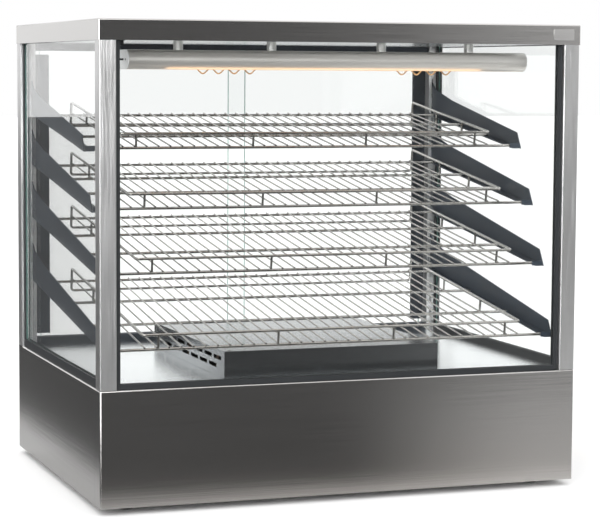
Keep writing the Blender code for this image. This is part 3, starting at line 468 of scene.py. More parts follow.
@dataclass(frozen=True)
class TableTop(Finish):
    """White studio table.

    In reflections its colour is painted dark, apart from a painted bright panel to the right and a
    painted bright strip close in front.
    The panel's edges are angles in degrees, seen from a place behind the case.
    """

    white: Colour = (0.93, 0.93, 0.93)
    fleck: float = 0.985
    dim: float = 0.03
    seen_from: tuple[float, float] = (-1.317, 3.10)
    panel_rise: tuple[float, float] = (20.5, 27.0)
    panel_fall: tuple[float, float] = (36.0, 44.0)
    panel_reach: tuple[float, float] = (-2.3, -1.5)
    panel_share: float = 0.42
    close_reach: tuple[float, float] = (-0.56, -0.33)
    close_share: float = 0.55
    left_reach: tuple[float, float] = (-0.578, -0.528)

    def build(self, graph: Graph) -> Socket:
        """Return the finish's shader."""
        place = graph.object_place()
        across, depth = graph.part(place, "X"), graph.part(place, "Y")
        turn = graph.add("ShaderNodeMath", {"operation": "ARCTAN2"},
                         {0: across - self.seen_from[0], 1: self.seen_from[1] - depth})
        degrees = turn * math.degrees(1)
        panel = graph.ramp(degrees, *self.panel_rise) * (1 - graph.ramp(degrees, *self.panel_fall))
        right = panel * graph.ramp(depth, *self.panel_reach) * self.panel_share
        close = graph.ramp(depth, *self.close_reach) * self.close_share
        bright = (right + close - right * close) * graph.ramp(across, *self.left_reach)
        # painted reflection: glossy rays see the table painted dark, with a painted bright panel and
        # strip; camera rays see it white
        glossy = graph.add("ShaderNodeLightPath", output="Is Glossy Ray")
        grain = graph.noise((60.0, 60.0, 60.0), 2.0)
        white = graph.mix(grain, scaled(self.white, self.fleck), self.white)
        return graph.principled(Base_Color=graph.mix((1 - bright) * glossy, white,
                                                     (self.dim,) * 3),
                                Roughness=0.8, Specular_IOR_Level=0.1)


# ---- mesh building ----


class Shape:
    """A mesh under construction, in the case's own metres."""

    def __init__(self) -> None:
        """Start with nothing."""
        self.mesh = bmesh.new()
        self.slot = 0

    def _begin(self) -> None:
        """Mark the faces that are already there."""
        for face in self.mesh.faces:
            face.tag = True

    def _new_faces(self) -> list[bmesh.types.BMFace]:
        """Give the faces made since _begin the current slot, and return them."""
        fresh = [face for face in self.mesh.faces if not face.tag]
        for face in fresh:
            face.material_index = self.slot
        return fresh

    def _round(self, edges: Iterable[bmesh.types.BMEdge], radius: float, segments: int) -> None:
        """Round edges; only the rounds shade smoothly, so that broad faces stay flat."""
        made = bmesh.ops.bevel(self.mesh, geom=list(edges), offset=radius, segments=segments,
                               affect="EDGES", profile=0.5, material=-1, clamp_overlap=True)
        for face in made["faces"]:
            face.smooth = True

    def box(self, low: Point, high: Point, bevel: float = 0.0, segments: int = 2,
            matrix: Matrix | None = None) -> list[bmesh.types.BMVert]:
        """Add a closed box.

        Args:
            low: Its lowest corner.
            high: Its highest corner.
            bevel: Radius of its edges, or 0 for sharp ones.
            segments: Steps across each rounded edge.
            matrix: A transform to apply last.

        Returns:
            The box's vertices.
        """
        self._begin()
        low, high = Vector(low), Vector(high)
        size = high - low
        place = Matrix.Translation((low + high) / 2) @ Matrix.Diagonal((*size, 1.0))
        verts = bmesh.ops.create_cube(self.mesh, size=1.0,
                                      matrix=(matrix or Matrix()) @ place)["verts"]
        if bevel:
            self._round({edge for vert in verts for edge in vert.link_edges}, bevel, segments)
        faces = self._new_faces()
        return list({vert for face in faces for vert in face.verts})

    def block(self, centre: Point, size: Point, bevel: float = 0.0, segments: int = 2,
              matrix: Matrix | None = None) -> None:
        """Add a closed box by its middle and its size; the rest is as for box."""
        middle, half = Vector(centre), Vector(size) / 2
        self.box(middle - half, middle + half, bevel, segments, matrix)

    def turned(self, profile: Sequence[Point], origin: Point, axis: Point, steps: int = 24,
               matrix: Matrix | None = None) -> None:
        """Add a turned solid.

        Args:
            profile: Points of radius and distance along the axis, from axis to axis.
            origin: Where the axis starts.
            axis: The axis's direction.
            steps: Number of sides.
            matrix: A transform to apply last.
        """
        self._begin()
        along = Vector(axis).normalized()
        across = along.orthogonal().normalized()
        origin = Vector(origin)
        points = [self.mesh.verts.new(origin + across * radius + along * reach)
                  for radius, reach in profile]
        edges = [self.mesh.edges.new(pair) for pair in zip(points, points[1:])]
        bmesh.ops.spin(self.mesh, geom=points + edges, axis=along, cent=origin,
                       angle=math.tau, steps=steps, use_merge=True)
        verts = list({vert for face in self._new_faces() for vert in face.verts})
        bmesh.ops.remove_doubles(self.mesh, verts=verts, dist=1e-6)
        faces = self._new_faces()
        bmesh.ops.recalc_face_normals(self.mesh, faces=faces)
        for face in faces:
            face.smooth = True
        if matrix:
            verts = list({vert for face in faces for vert in face.verts})
            bmesh.ops.transform(self.mesh, matrix=matrix, verts=verts)

    def prism(self, outline: Sequence[Point], low: float, high: float, axis: int,
              bevel: float = 0.0) -> None:
        """Add an extruded outline.

        Args:
            outline: Points of the two other coordinates, in X, Y, Z order.
            low: Where the extrusion starts along the axis.
            high: Where it ends.
            axis: 0, 1 or 2 for X, Y or Z.
            bevel: Radius of the edges round both ends.
        """
        self._begin()
        corners = []
        for first, second in outline:
            place = [first, second]
            place.insert(axis, low)
            corners.append(self.mesh.verts.new(place))
        cap = self.mesh.faces.new(corners)
        swept = bmesh.ops.extrude_face_region(self.mesh, geom=[cap])["geom"]
        step = Vector((0, 0, 0))
        step[axis] = high - low
        moved = [item for item in swept if isinstance(item, bmesh.types.BMVert)]
        bmesh.ops.translate(self.mesh, verts=moved, vec=step)
        faces = [face for face in self.mesh.faces if not face.tag]
        bmesh.ops.recalc_face_normals(self.mesh, faces=faces)
        for face in faces:
            face.smooth = len(face.verts) < len(outline)
        if bevel:
            self._round({edge for face in faces if not face.smooth for edge in face.edges},
                        bevel, 2)
        self._new_faces()

    def folded(self, low: Point, high: Point, gone: Iterable[Point], radius: float,
               wall: float, segments: int = 3) -> None:
        """Add a sheet box with rounded folds that lacks some of its sides.

        Args:
            low: Its lowest corner.
            high: Its highest corner.
            gone: Outward directions of the missing sides.
            radius: Radius of the folds, outside.
            wall: Thickness of the sheet.
            segments: Steps round each fold.
        """
        verts = self.box(low, high)
        faces = list({face for vert in verts for face in vert.link_faces})
        self.mesh.normal_update()
        missing = [face for face in faces
                   if any(face.normal.dot(Vector(way)) > 0.9 for way in gone)]
        bmesh.ops.delete(self.mesh, geom=missing, context="FACES")
        faces = [face for face in faces if face.is_valid]
        folds = list({edge for face in faces for edge in face.edges if len(edge.link_faces) == 2})
        self._round(folds, radius, segments)
        faces = [face for face in self.mesh.faces if not face.tag]
        self.mesh.normal_update()
        bmesh.ops.solidify(self.mesh, geom=faces, thickness=wall)
        self._new_faces()

    def finish(self, name: str, finishes: Sequence[Finish], body: str, slot: str | None,
               replaces: Sequence[str] = (), sharp: float = 35.0) -> bpy.types.Object:
        """Turn the shape into a piece that rides on a body.

        Args:
            name: The piece's name.
            finishes: Its finishes, in slot order.
            body: The body that it rides on.
            slot: The record's material slot, or None where it has no fitting one; not used.
            replaces: Frame nodes that it stands for.
            sharp: Angle in degrees past which an edge stays sharp.

        Returns:
            The piece.
        """
        data = bpy.data.meshes.new(name)
        self.mesh.to_mesh(data)
        rounds = [face.smooth for face in self.mesh.faces]
        self.mesh.free()
        for each in finishes:
            data.materials.append(each.material())
        data.set_sharp_from_angle(angle=math.radians(sharp))
        data.polygons.foreach_set("use_smooth", rounds)
        return settle(bpy.data.objects.new(name, data), body, replaces)


def settle(piece: bpy.types.Object, body: str,
           replaces: Sequence[str] = ()) -> bpy.types.Object:
    """Put a piece in the scene on its body, hiding the frame nodes that it replaces."""
    bpy.context.collection.objects.link(piece)
    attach(piece, body)
    if replaces:
        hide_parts(*replaces)
    log.info("%s rides on %s", piece.name, body)
    return piece


def rounded_route(corners: Sequence[Point], radius: float, closed: bool = False,
                  steps: int = 5) -> list[Vector]:
    """Round the corners of a wire's route.

    Args:
        corners: The route's corners.
        radius: Radius of each bend.
        closed: Whether the route returns to its start.
        steps: Pieces in each bend.

    Returns:
        The route's points.
    """
    corners = [Vector(corner) for corner in corners]
    ring = [corners[-1], *corners, corners[0]] if closed else corners
    route = [] if closed else [corners[0]]
    for before, corner, after in zip(ring, ring[1:], ring[2:]):
        back, on = (before - corner).normalized(), (after - corner).normalized()
        half = back.angle(on) / 2
        if half > math.radians(88):
            route.append(corner)
            continue
        reach = radius / math.tan(half)
        middle = corner + (back + on).normalized() * (radius / math.sin(half))
        start = (corner + back * reach - middle).normalized()
        end = (corner + on * reach - middle).normalized()
        route += [middle + start.slerp(end, step / steps) * radius for step in range(steps + 1)]
    return route if closed else [*route, corners[-1]]


class WireWork:
    """Round wires welded together, drawn as the splines of one curve."""

    def __init__(self, name: str, sides: int = 3) -> None:
        """Start an empty curve.

        Args:
            name: The piece's name.
            sides: The curve's bevel resolution.
        """
        self.curve = bpy.data.curves.new(name, "CURVE")
        self.curve.dimensions = "3D"
        self.curve.bevel_depth = 0.001
        self.curve.bevel_resolution = sides
        self.curve.use_fill_caps = True

    def wire(self, route: Sequence[Point], diameter: float, closed: bool = False) -> None:
        """Add one wire along a route."""
        spline = self.curve.splines.new("POLY")
        spline.points.add(len(route) - 1)
        for point, place in zip(spline.points, route):
            point.co = (*place, 1.0)
            point.radius = diameter / 2 / self.curve.bevel_depth
        spline.use_cyclic_u = closed
        spline.use_smooth = True

    def finish(self, name: str, finish: Finish, body: str, slot: str,
               replaces: Sequence[str] = (), matrix: Matrix | None = None) -> bpy.types.Object:
        """Turn the wires into a piece that rides on a body."""
        if matrix:
            self.curve.transform(matrix)
        self.curve.materials.append(finish.material())
        return settle(bpy.data.objects.new(name, self.curve), body, replaces)


def dress(finish: Finish, *nodes: str) -> None:
    """Give frame nodes a finish."""
    for node in nodes:
        data = frame_nodes[node].data
        data.materials.clear()
        data.materials.append(finish.material())


frame_nodes: dict[str, bpy.types.Object] = {}


def centre_of(node: str) -> Vector:
    """Return the middle of a frame node's box."""
    low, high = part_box(node)
    return (low + high) / 2


# ---- studio ----


@dataclass
class Softbox:
    """One soft light: its place, aim, size, power and colour, and whether metal mirrors it."""

    name: str
    place: Point
    aim: Point
    size: tuple[float, float]
    power: float
    colour: Colour = (1.0, 1.0, 1.0)
    mirrored: bool = False

    def build(self) -> None:
        """Add the light."""
        lamp = bpy.data.lights.new(self.name, "AREA")
        lamp.shape = "RECTANGLE"
        lamp.size, lamp.size_y = self.size
        lamp.energy = self.power
        lamp.color = self.colour
        item = bpy.data.objects.new(self.name, lamp)
        way = Vector(self.aim) - Vector(self.place)
        item.matrix_world = (Matrix.Translation(self.place)
                             @ way.to_track_quat("-Z", "Y").to_matrix().to_4x4())
        item.visible_glossy = self.mirrored
        item.visible_camera = False
        bpy.context.collection.objects.link(item)


@dataclass
class Studio:
    """Camera, table, surroundings and lights."""

    camera_place: Point = (-1.3168, -3.7571, 0.7593)
    yaw: float = 19.696
    pitch: float = 5.270
    roll: float = 0.348
    lens: float = 125.6
    table_size: float = 60.0
    room: tuple[tuple[float, float], ...] = (
        (-180, 1.15), (-120, 1.15), (-90, 0.6), (-62, 0.6), (-54, 5.8), (-6, 5.8), (-1, 0.04),
        (22, 0.05), (24, 0.15), (26, 0.95), (40, 1.2), (60, 0.9), (95, 0.6), (120, 1.15),
        (180, 1.15))
    brightest: float = 6.0
    overhead: float = 0.75
    overhead_from: tuple[float, float] = (0.35, 0.75)
    lamp_x: float = 0.189
    lamp_colour: Colour = (1.0, 0.70, 0.40)
    sun: float = 1.3
    sun_spread: float = 110.0
    sun_tilt: tuple[float, float] = (8.0, 4.0)

    def build(self) -> None:
        """Make the whole studio."""
        self._camera()
        self._table()
        self._dome()
        self._lights()

    def _camera(self) -> None:
        """Add the camera."""
        data = bpy.data.cameras.new("camera")
        data.sensor_width = 36.0
        data.lens = self.lens
        yaw, pitch, roll = (math.radians(angle) for angle in (self.yaw, self.pitch, self.roll))
        ahead = Vector((math.sin(yaw) * math.cos(pitch), math.cos(yaw) * math.cos(pitch),
                        -math.sin(pitch)))
        right = Vector((math.cos(yaw), -math.sin(yaw), 0.0))
        up = right.cross(ahead)
        turned = math.cos(roll) * right + math.sin(roll) * up
        upright = -math.sin(roll) * right + math.cos(roll) * up
        camera = bpy.data.objects.new("camera", data)
        turn = Matrix((turned, upright, -ahead)).transposed().to_4x4()
        camera.matrix_world = Matrix.Translation(self.camera_place) @ turn
        data.clip_end = 200.0
        bpy.context.collection.objects.link(camera)
        bpy.context.scene.camera = camera

    def _table(self) -> None:
        """Add the table under the case."""
        mesh = bmesh.new()
        bmesh.ops.create_grid(mesh, x_segments=1, y_segments=1, size=self.table_size / 2)
        data = bpy.data.meshes.new("table")
        mesh.to_mesh(data)
        mesh.free()
        data.materials.append(TableTop().material())
        table = bpy.data.objects.new("table", data)
        bpy.context.collection.objects.link(table)

    def _dome(self) -> None:
        """Surroundings: white to the camera, and a room of soft panels in reflections."""
        world = bpy.data.worlds.new("surroundings")
        bpy.context.scene.world = world
        world.use_nodes = True
        graph = Graph(world.node_tree)
        way = graph.add("ShaderNodeTexCoord", output="Generated")
        across, depth, height = (graph.part(way, axis) for axis in "XYZ")
        turn = graph.add("ShaderNodeMath", {"operation": "ARCTAN2"}, {0: across, 1: 0 - depth})
        stops = [(angle / 360 + 0.5, (level / self.brightest,) * 3) for angle, level in self.room]
        ring = graph.add("ShaderNodeValToRGB", {"stops": stops}, {0: turn / math.tau + 0.5})
        tones = graph.mix(graph.ramp(height, *self.overhead_from), ring,
                          (self.overhead / self.brightest,) * 3)
        seen = graph.add("ShaderNodeLightPath", output="Is Camera Ray")
        strength = seen + (1 - seen) * self.brightest
        glow = graph.add("ShaderNodeBackground", inputs={
            "Color": graph.mix(seen, tones, (1.0, 1.0, 1.0)), "Strength": strength})
        graph.add("ShaderNodeOutputWorld", inputs={0: glow})

    def _lights(self) -> None:
        """Light of the two lamps, their glow on the hood's lip and a broad light from above."""
        boxes = [Softbox(f"{side}_lamp_light", (x, -0.215, 0.7590), (x, -0.16, 0.0),
                         (0.11, 0.03), 1.2, self.lamp_colour)
                 for side, x in (("right", self.lamp_x), ("left", -self.lamp_x))]
        boxes.append(Softbox("warm_food_glow", (0.0, -0.225, 0.742), (0.0, -0.225, 1.0),
                             (0.60, 0.035), 0.10, (1.0, 0.60, 0.30), True))
        for box in boxes:
            box.build()
        lamp = bpy.data.lights.new("overhead", "SUN")
        lamp.energy = self.sun
        lamp.angle = math.radians(self.sun_spread)
        item = bpy.data.objects.new("overhead", lamp)
        item.rotation_euler = (*(math.radians(angle) for angle in self.sun_tilt), 0.0)
        bpy.context.collection.objects.link(item)


# ---- steel shell ----


@dataclass
class Shell:
    """Folded base panels, cap and posts, with their blank nameplate."""

    sheet: float = 0.0012
    fold: float = 0.0022
    post_fold: float = 0.0018
    post_wall: float = 0.0015
    plate: Point = (0.041, 0.0004, 0.020)
    plate_from_right: float = 0.0335
    plate_bevel: float = 0.00018
    upright: Finish = BrushedSteel(grain=Grain.VERTICAL, colour=(0.74, 0.74, 0.74),
                                   roughness=0.26, tilt=1.7, lines=5200.0)

    def build(self) -> None:
        """Make and dress the shell."""
        panel = BrushedSteel()
        dress(panel, "rear_panel", "control_panel", "base_pan")
        dress(BrushedSteel(colour=(0.91, 0.93, 0.95), roughness=0.18, tilt=0.12), "deck",
              "ceiling_panel")
        dress(self.upright, "post_rear_left", "post_rear_right")
        dress(Moulded(colour=(0.02, 0.02, 0.02), roughness=0.70), "foot_front_left",
              "foot_front_right", "foot_rear_left", "foot_rear_right")
        self._base(panel)
        self._cap()
        self._posts()

    def _base(self, panel: Finish) -> None:
        """Front and side panels with rounded folds."""
        for name, gone in (("front_panel", ((0, 1, 0), (0, 0, -1))),
                           ("left_side_panel", ((0, 1, 0), (0, -1, 0), (0, 0, -1), (1, 0, 0))),
                           ("right_side_panel", ((0, 1, 0), (0, -1, 0), (0, 0, -1), (-1, 0, 0)))):
            shape = Shape()
            shape.folded(*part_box(name), gone, self.fold, self.sheet)
            shape.finish(f"{name}_skin", (panel,), CABINET, "brushed_steel", (name,))

    def _cap(self) -> None:
        """Cap with rounded folds, and the blank plate on its front."""
        low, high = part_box("top_cap")
        shape = Shape()
        front = low + Vector((0.0, self.plate[1], 0.0))
        shape.folded(front, high, ((0, 0, -1),), self.fold, self.sheet)
        shape.finish("top_cap_skin", (BrushedSteel(),), CABINET, "brushed_steel", ("top_cap",))
        plate = Shape()
        plate.block((high.x - self.plate_from_right, low.y + self.plate[1] / 2, (low.z + high.z) / 2),
                    self.plate, self.plate_bevel)
        plate.finish("nameplate", (BrushedSteel(colour=(0.72, 0.71, 0.70)),),
                     CABINET, "brushed_steel")

    def _posts(self) -> None:
        """Front posts as square tubes with rounded corners."""
        for side in ("left", "right"):
            name = f"post_front_{side}"
            shape = Shape()
            shape.folded(*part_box(name), ((0, 0, 1), (0, 0, -1)), self.post_fold, self.post_wall)
            shape.finish(f"{name}_tube", (self.upright,), CABINET, "brushed_steel", (name,))


# ---- glazing and doors ----


@dataclass
class Glazing:
    """Fixed panes, sliding doors, seals and tracks."""

    arris: float = 0.0005

    def build(self) -> None:
        """Make and dress the glazing."""
        dress(Moulded(colour=(0.010, 0.012, 0.014), roughness=0.50), "seal_front", "seal_left",
              "seal_right")
        dress(Moulded(colour=(0.022, 0.028, 0.036), roughness=0.33), "upper_door_track",
              "lower_door_track", "door_handle_left", "door_handle_right")
        for name, body, thin in (("glass_front", CABINET, 1), ("glass_left", CABINET, 0),
                                 ("glass_right", CABINET, 0), ("door_glass_left", "door_left", 1),
                                 ("door_glass_right", "door_right", 1)):
            self._pane(name, body, thin)

    def _pane(self, name: str, body: str, thin: int) -> None:
        """One pane with ground edges.

        Args:
            name: The frame node that the pane stands for.
            body: The body that it rides on.
            thin: The axis across the pane's thickness.
        """
        shape = Shape()
        low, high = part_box(name)
        shape.box(low, high, self.arris, 1)
        shape.mesh.normal_update()
        for face in shape.mesh.faces:
            face.material_index = 0 if abs(face.normal[thin]) > 0.9 else 1
        shape.finish(f"{name}_pane", (ClearGlass(), GlassEdge()), body, "clear_glass", (name,))


# ---- racks ----


@dataclass
class Rack:
    """One welded wire rack, modelled flat and laid on its slope."""

    number: int
    slope: float = math.radians(7.6)
    frame_rod: float = 0.005
    rod: float = 0.0054
    wire: float = 0.0030
    rim: float = 0.0050
    stand: float = 0.0044
    rim_height: float = 0.026
    rim_drop: float = 0.018
    rim_inset: float = 0.0575
    rods: int = 4
    wires: int = 33
    wire_inset: float = 0.004
    stand_inset: float = 0.029
    stands: int = 4
    weld: float = 0.0006

    def _lay(self) -> tuple[Matrix, float, float]:
        """Find the rack's place.

        Returns:
            The transform from the flat rack, its length and half its width.
        """
        low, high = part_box(f"rack_{self.number}")
        half = self.frame_rod / 2
        cosine, sine = math.cos(self.slope), math.sin(self.slope)
        front = low.y + half * cosine + (self.rim_height + half) * sine
        height = low.z + half * (cosine + sine)
        length = (high.y - front - (self.rim_drop + half) * sine) / cosine - half
        place = Matrix.Translation((0.0, front, height)) @ Matrix.Rotation(self.slope, 4, "X")
        return place, length, high.x

    def build(self) -> None:
        """Make the rack."""
        place, length, half_width = self._lay()
        rim_x = half_width - self.rim_inset
        deck = (self.rod + self.wire) / 2 - self.weld
        work = WireWork(f"rack_{self.number}_wires")
        rod_places = [length * index / (self.rods - 1) for index in range(self.rods)]
        for y in rod_places:
            work.wire([(-half_width, y, 0), (half_width, y, 0)], self.rod)
        first = -rim_x + self.wire_inset
        pitch = -2 * first / (self.wires - 1)
        for index in range(self.wires):
            x = first + pitch * index
            work.wire([(x, -self.rod / 2, deck), (x, length + self.rod / 2, deck)], self.wire)
        top, low = self.rim_height, -self.rim_drop
        loop = [(-rim_x, 0, top), (rim_x, 0, top), (rim_x, length, top), (rim_x, length, low),
                (-rim_x, length, low), (-rim_x, length, top)]
        work.wire(rounded_route(loop, self.rim * 1.1, closed=True), self.rim, closed=True)
        self._stands(work, rim_x, rod_places)
        work.finish(f"rack_{self.number}_wires", BrightWire(), f"rack_{self.number}_body",
                    "chrome_wire", (f"rack_{self.number}",), place)

    def _stands(self, work: WireWork, rim_x: float, rod_places: Sequence[float]) -> None:
        """Short wires that hold the rim above the rods."""
        reach = rim_x - self.stand_inset
        step = 2 * reach / (self.stands - 1)
        feet = [(-reach + step * index, 0.0) for index in range(self.stands)]
        feet += [(side * rim_x, y) for side in (-1, 1) for y in rod_places[1:-1]]
        for x, y in feet:
            work.wire([(x, y, 0.0), (x, y, self.rim_height)], self.stand)


@dataclass
class Racks:
    """The four wire racks and the brackets that carry them."""

    count: int = 4

    def build(self) -> None:
        """Make the racks and dress the brackets."""
        for number in range(1, self.count + 1):
            Rack(number).build()
            dress(SatinSheet(), f"bracket_left_{number}", f"bracket_right_{number}")


# ---- lamps ----


@dataclass
class LampHood:
    """Hood under the ceiling, with its lamps, guards, hangers and lead."""

    flat: float = 0.022
    wall: float = 0.0015
    arc_steps: int = 14
    window_length: float = 0.122
    window_width: float = 0.052
    guard_wire: float = 0.0026
    guard_loops: int = 4
    guard_pitch: float = 0.029
    guard_steps: int = 14
    tube: float = 0.0048
    cap: float = 0.0078
    cap_length: float = 0.012
    vent: tuple[float, float, float] = (0.0055, 0.0013, 0.0003)
    vents: int = 5
    vent_pitch: float = 0.0085
    vent_row: float = 0.016
    tray_lift: float = 0.0001
    tray_lap: float = 0.0035
    window_lap: float = 0.004
    chamfer: float = 0.001
    holder: tuple[float, float] = (0.006, 0.010)
    holder_inset: float = 0.006
    clamp: Point = (0.016, 0.020, 0.010)
    clamp_ears: Point = (0.022, 0.012, 0.0015)
    clamp_place: tuple[float, float] = (-0.403, -0.278)
    lead: float = 0.0036
    lead_bend: float = 0.006

    def build(self) -> None:
        """Make and dress the hood and what is in it."""
        self.low, self.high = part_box("lamp_hood")
        self.centre = centre_of("lamp_hood")
        self.window_x = self.high.x / 2
        dress(Aluminium(colour=(0.90, 0.90, 0.88), roughness=0.30, metallic=0.5), "hood_hanger_1",
              "hood_hanger_2", "hood_hanger_3", "hood_hanger_4")
        self._shell()
        self._tray()
        self._ends()
        self._guards()
        self._vents()
        self._lead()
        for side in ("left", "right"):
            self._lamp(side)

    def _arc(self, inset: float) -> list[tuple[float, float]]:
        """Return the hood's section from its front underside over the top to the rear."""
        bulge = (self.high.y - self.low.y) / 2 - self.flat - inset
        tall = (self.high.z - self.low.z) / 2 - inset
        angles = [-math.pi / 2 + math.pi * index / self.arc_steps
                  for index in range(self.arc_steps + 1)]
        rear = [(self.flat + bulge * math.cos(a), tall * math.sin(a)) for a in angles]
        return [(self.centre.y - y, self.centre.z + z) for y, z in rear] + [
            (self.centre.y + y, self.centre.z + z) for y, z in reversed(rear)]

    def _shell(self) -> None:
        """Curved outer sheet, open below between its two lips."""
        shape = Shape()
        outer, inner = self._arc(0.0), self._arc(self.wall)
        shape.prism(outer + inner[::-1], self.low.x + self.wall, self.high.x - self.wall, 0)
        skin = Aluminium(colour=(0.96, 0.93, 0.89), roughness=0.36, metallic=0.82)
        shape.finish("lamp_hood_shell", (skin,), CABINET, "satin_aluminium",
                     ("lamp_hood",), 50.0)

    def _tray(self) -> None:
        """Underside tray round the two windows, painted amber: a painted reflection of the warm light
        from below.
        """
        shape = Shape()
        floor = self.low.z + self.tray_lift
        half_y, half_window = self.flat + self.tray_lap, self.window_width / 2 - self.window_lap
        inner, outer = (self.window_x + side * self.window_length / 2 for side in (-1, 1))
        end = self.high.x - self.wall
        plates = [(*span, -half_y, half_y) for span in ((-end, -outer), (-inner, inner), (outer, end))]
        plates += [(*span, *strip) for span in ((-outer, -inner), (inner, outer))
                   for strip in ((-half_y, -half_window), (half_window, half_y))]
        for low_x, high_x, low_y, high_y in plates:
            shape.box((low_x, self.centre.y + low_y, floor),
                      (high_x, self.centre.y + high_y, floor + self.wall))
        # painted reflection: the tray's aluminium is coloured amber for the warm lamp light that it
        # catches
        painted_lamp_glow = Aluminium(colour=(0.90, 0.58, 0.32), roughness=0.45, metallic=0.6)
        shape.finish("lamp_hood_tray", (painted_lamp_glow,), CABINET, "satin_aluminium")

    def _ends(self) -> None:
        """D-shaped end caps."""
        shape = Shape()
        outline = self._arc(0.0)
        for low_x, high_x in ((self.low.x, self.low.x + self.wall),
                              (self.high.x - self.wall, self.high.x)):
            shape.prism(outline, low_x, high_x, 0, 0.0004)
        pale = Aluminium(colour=(0.82, 0.82, 0.82), roughness=0.45, metallic=0.2)
        shape.finish("lamp_hood_ends", (pale,), CABINET, "satin_aluminium")

    def _guards(self) -> None:
        """Wavy wire guards across the windows."""
        low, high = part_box("lamp_guard")
        low_z, high_z = low.z + self.guard_wire / 2, high.z - self.guard_wire / 2
        middle, swing = (low_z + high_z) / 2, (high_z - low_z) / 2
        work = WireWork("lamp_guards")
        for centre in (-self.window_x, self.window_x):
            route = []
            for index in range(self.guard_loops * self.guard_steps + 1):
                turn = index / self.guard_steps
                route.append((centre + (turn - self.guard_loops / 2) * self.guard_pitch,
                              self.centre.y, middle + swing * math.cos(math.tau * turn)))
            work.wire(route, self.guard_wire)
        work.finish("lamp_guards", BrightWire(colour=(0.72, 0.66, 0.55)), CABINET, "chrome_wire",
                    ("lamp_guard",))

    def _vents(self) -> None:
        """Short pressed slots in the tray, on both sides of each window."""
        shape = Shape()
        reach = self.window_length / 2 + self.vent_pitch
        for centre in (-self.window_x, self.window_x):
            for way in (-1, 1):
                for index in range(self.vents):
                    x = centre + way * (reach + index * self.vent_pitch)
                    for y in (-self.vent_row, self.vent_row):
                        shape.block((x, self.centre.y + y, self.low.z + self.tray_lift), self.vent)
        shape.finish("lamp_hood_vents", (Moulded(roughness=0.75),), CABINET, "black_plastic")

    def _lead(self) -> None:
        """Lamp lead, from the hood's left end to a clamp under the ceiling."""
        x, y = self.clamp_place
        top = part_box("ceiling_panel")[0].z - GAP
        clamp = Shape()
        clamp.block((x, y, top - self.clamp[2] / 2), self.clamp, 0.0015)
        clamp.block((x, y, top - self.clamp_ears[2] / 2), self.clamp_ears)
        dark = Moulded(colour=(0.02, 0.021, 0.023))
        clamp.finish("lead_clamp", (dark,), CABINET, "black_plastic")
        front = y + self.clamp[1] / 2
        corners = [(self.low.x - GAP, self.centre.y - 0.006, self.centre.z),
                   (self.low.x - 0.014, self.centre.y - 0.008, self.centre.z),
                   (x, front + 0.023, top - 0.012), (x, front, top - 0.006)]
        lead = WireWork("lamp_lead")
        lead.wire(rounded_route(corners, self.lead_bend), self.lead)
        lead.finish("lamp_lead", dark, CABINET, "black_plastic")

    def _lamp(self, side: str) -> None:
        """One glowing quartz tube with ceramic ends, and its holders."""
        low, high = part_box(f"lamp_{side}")
        top = self.high.z - self.wall - 0.0003
        lamp = Shape()
        for x, inward in ((low.x, 1), (high.x, -1)):
            lamp.slot = 0
            lamp.turned([(0, 0), (self.cap - self.chamfer, 0), (self.cap, self.chamfer),
                         (self.cap, self.cap_length - self.chamfer),
                         (self.cap - 2 * self.chamfer, self.cap_length), (0, self.cap_length)],
                        (x, self.centre.y, self.centre.z), (inward, 0, 0), 20)
            lamp.slot = 1
            lamp.block((x + inward * self.holder_inset, self.centre.y, (self.centre.z + top) / 2),
                       (*self.holder, top - self.centre.z), 0.0005)
        ceramic = Moulded(colour=(0.62, 0.58, 0.52), roughness=0.55, grain=700.0)
        lamp.finish(f"lamp_{side}_caps", (ceramic, Aluminium()), CABINET, "quartz_lamp",
                    (f"lamp_{side}",))
        start, stop = low.x + self.cap_length, high.x - self.cap_length
        tube = Shape()
        tube.turned([(0, 0), (self.tube, 0), (self.tube, stop - start), (0, stop - start)],
                    (start, self.centre.y, self.centre.z), (1, 0, 0), 20)
        tube.finish(f"lamp_{side}_tube", (Glow(),), CABINET, "quartz_lamp")


# ---- air and heat ----


@dataclass
class AirSystem:
    """Duct, element and fan."""

    def build(self) -> None:
        """Dress the air system's frame nodes."""
        dress(BrushedSteel(colour=(0.30, 0.31, 0.32), roughness=0.18), "duct_cover")
        dress(HeatedSheath(), "heating_element")
        dress(Moulded(colour=(0.018, 0.018, 0.019), roughness=0.45), "fan_frame", "fan_impeller")


# ---- controls ----


BAR_PLACES = {"top": (True, 2, 0), "middle": (True, 0, 0), "bottom": (True, -2, 0),
              "high_left": (False, 1, -1), "high_right": (False, 1, 1),
              "low_left": (False, -1, -1), "low_right": (False, -1, 1)}
BARS = {
    "0": ("top", "bottom", "high_left", "high_right", "low_left", "low_right"),
    "3": ("top", "middle", "bottom", "high_right", "low_right"),
    "5": ("top", "middle", "bottom", "high_left", "low_right"),
    "6": ("top", "middle", "bottom", "high_left", "low_left", "low_right"),
    "9": ("top", "middle", "bottom", "high_left", "high_right", "low_right"),
}


@dataclass
class Digits:
    """Seven-bar digits that face the rear, added to a shape."""

    shape: Shape
    floor: float
    thick: float

    def write(self, text: str, x: float, z: float, tall: float, stroke: float) -> None:
        """Add digits.

        Args:
            text: The digits.
            x: Middle of the text.
            z: Middle of its height.
            tall: Its height.
            stroke: Width of each bar.
        """
        wide, step = tall * 0.5, tall * 0.72
        for index, digit in enumerate(text):
            centre = x - (index - (len(text) - 1) / 2) * step
            for bar in BARS[digit]:
                flat, level, side = BAR_PLACES[bar]
                size = (wide - stroke * 1.4, stroke) if flat else (stroke, tall / 2 - stroke * 1.4)
                self.mark(centre - side * wide / 2, z + level * tall / 4, *size)

    def mark(self, x: float, z: float, wide: float, tall: float) -> None:
        """Add one upright bar by its middle and its size."""
        self.shape.block((x, self.floor + self.thick / 2, z), (wide, self.thick, tall))


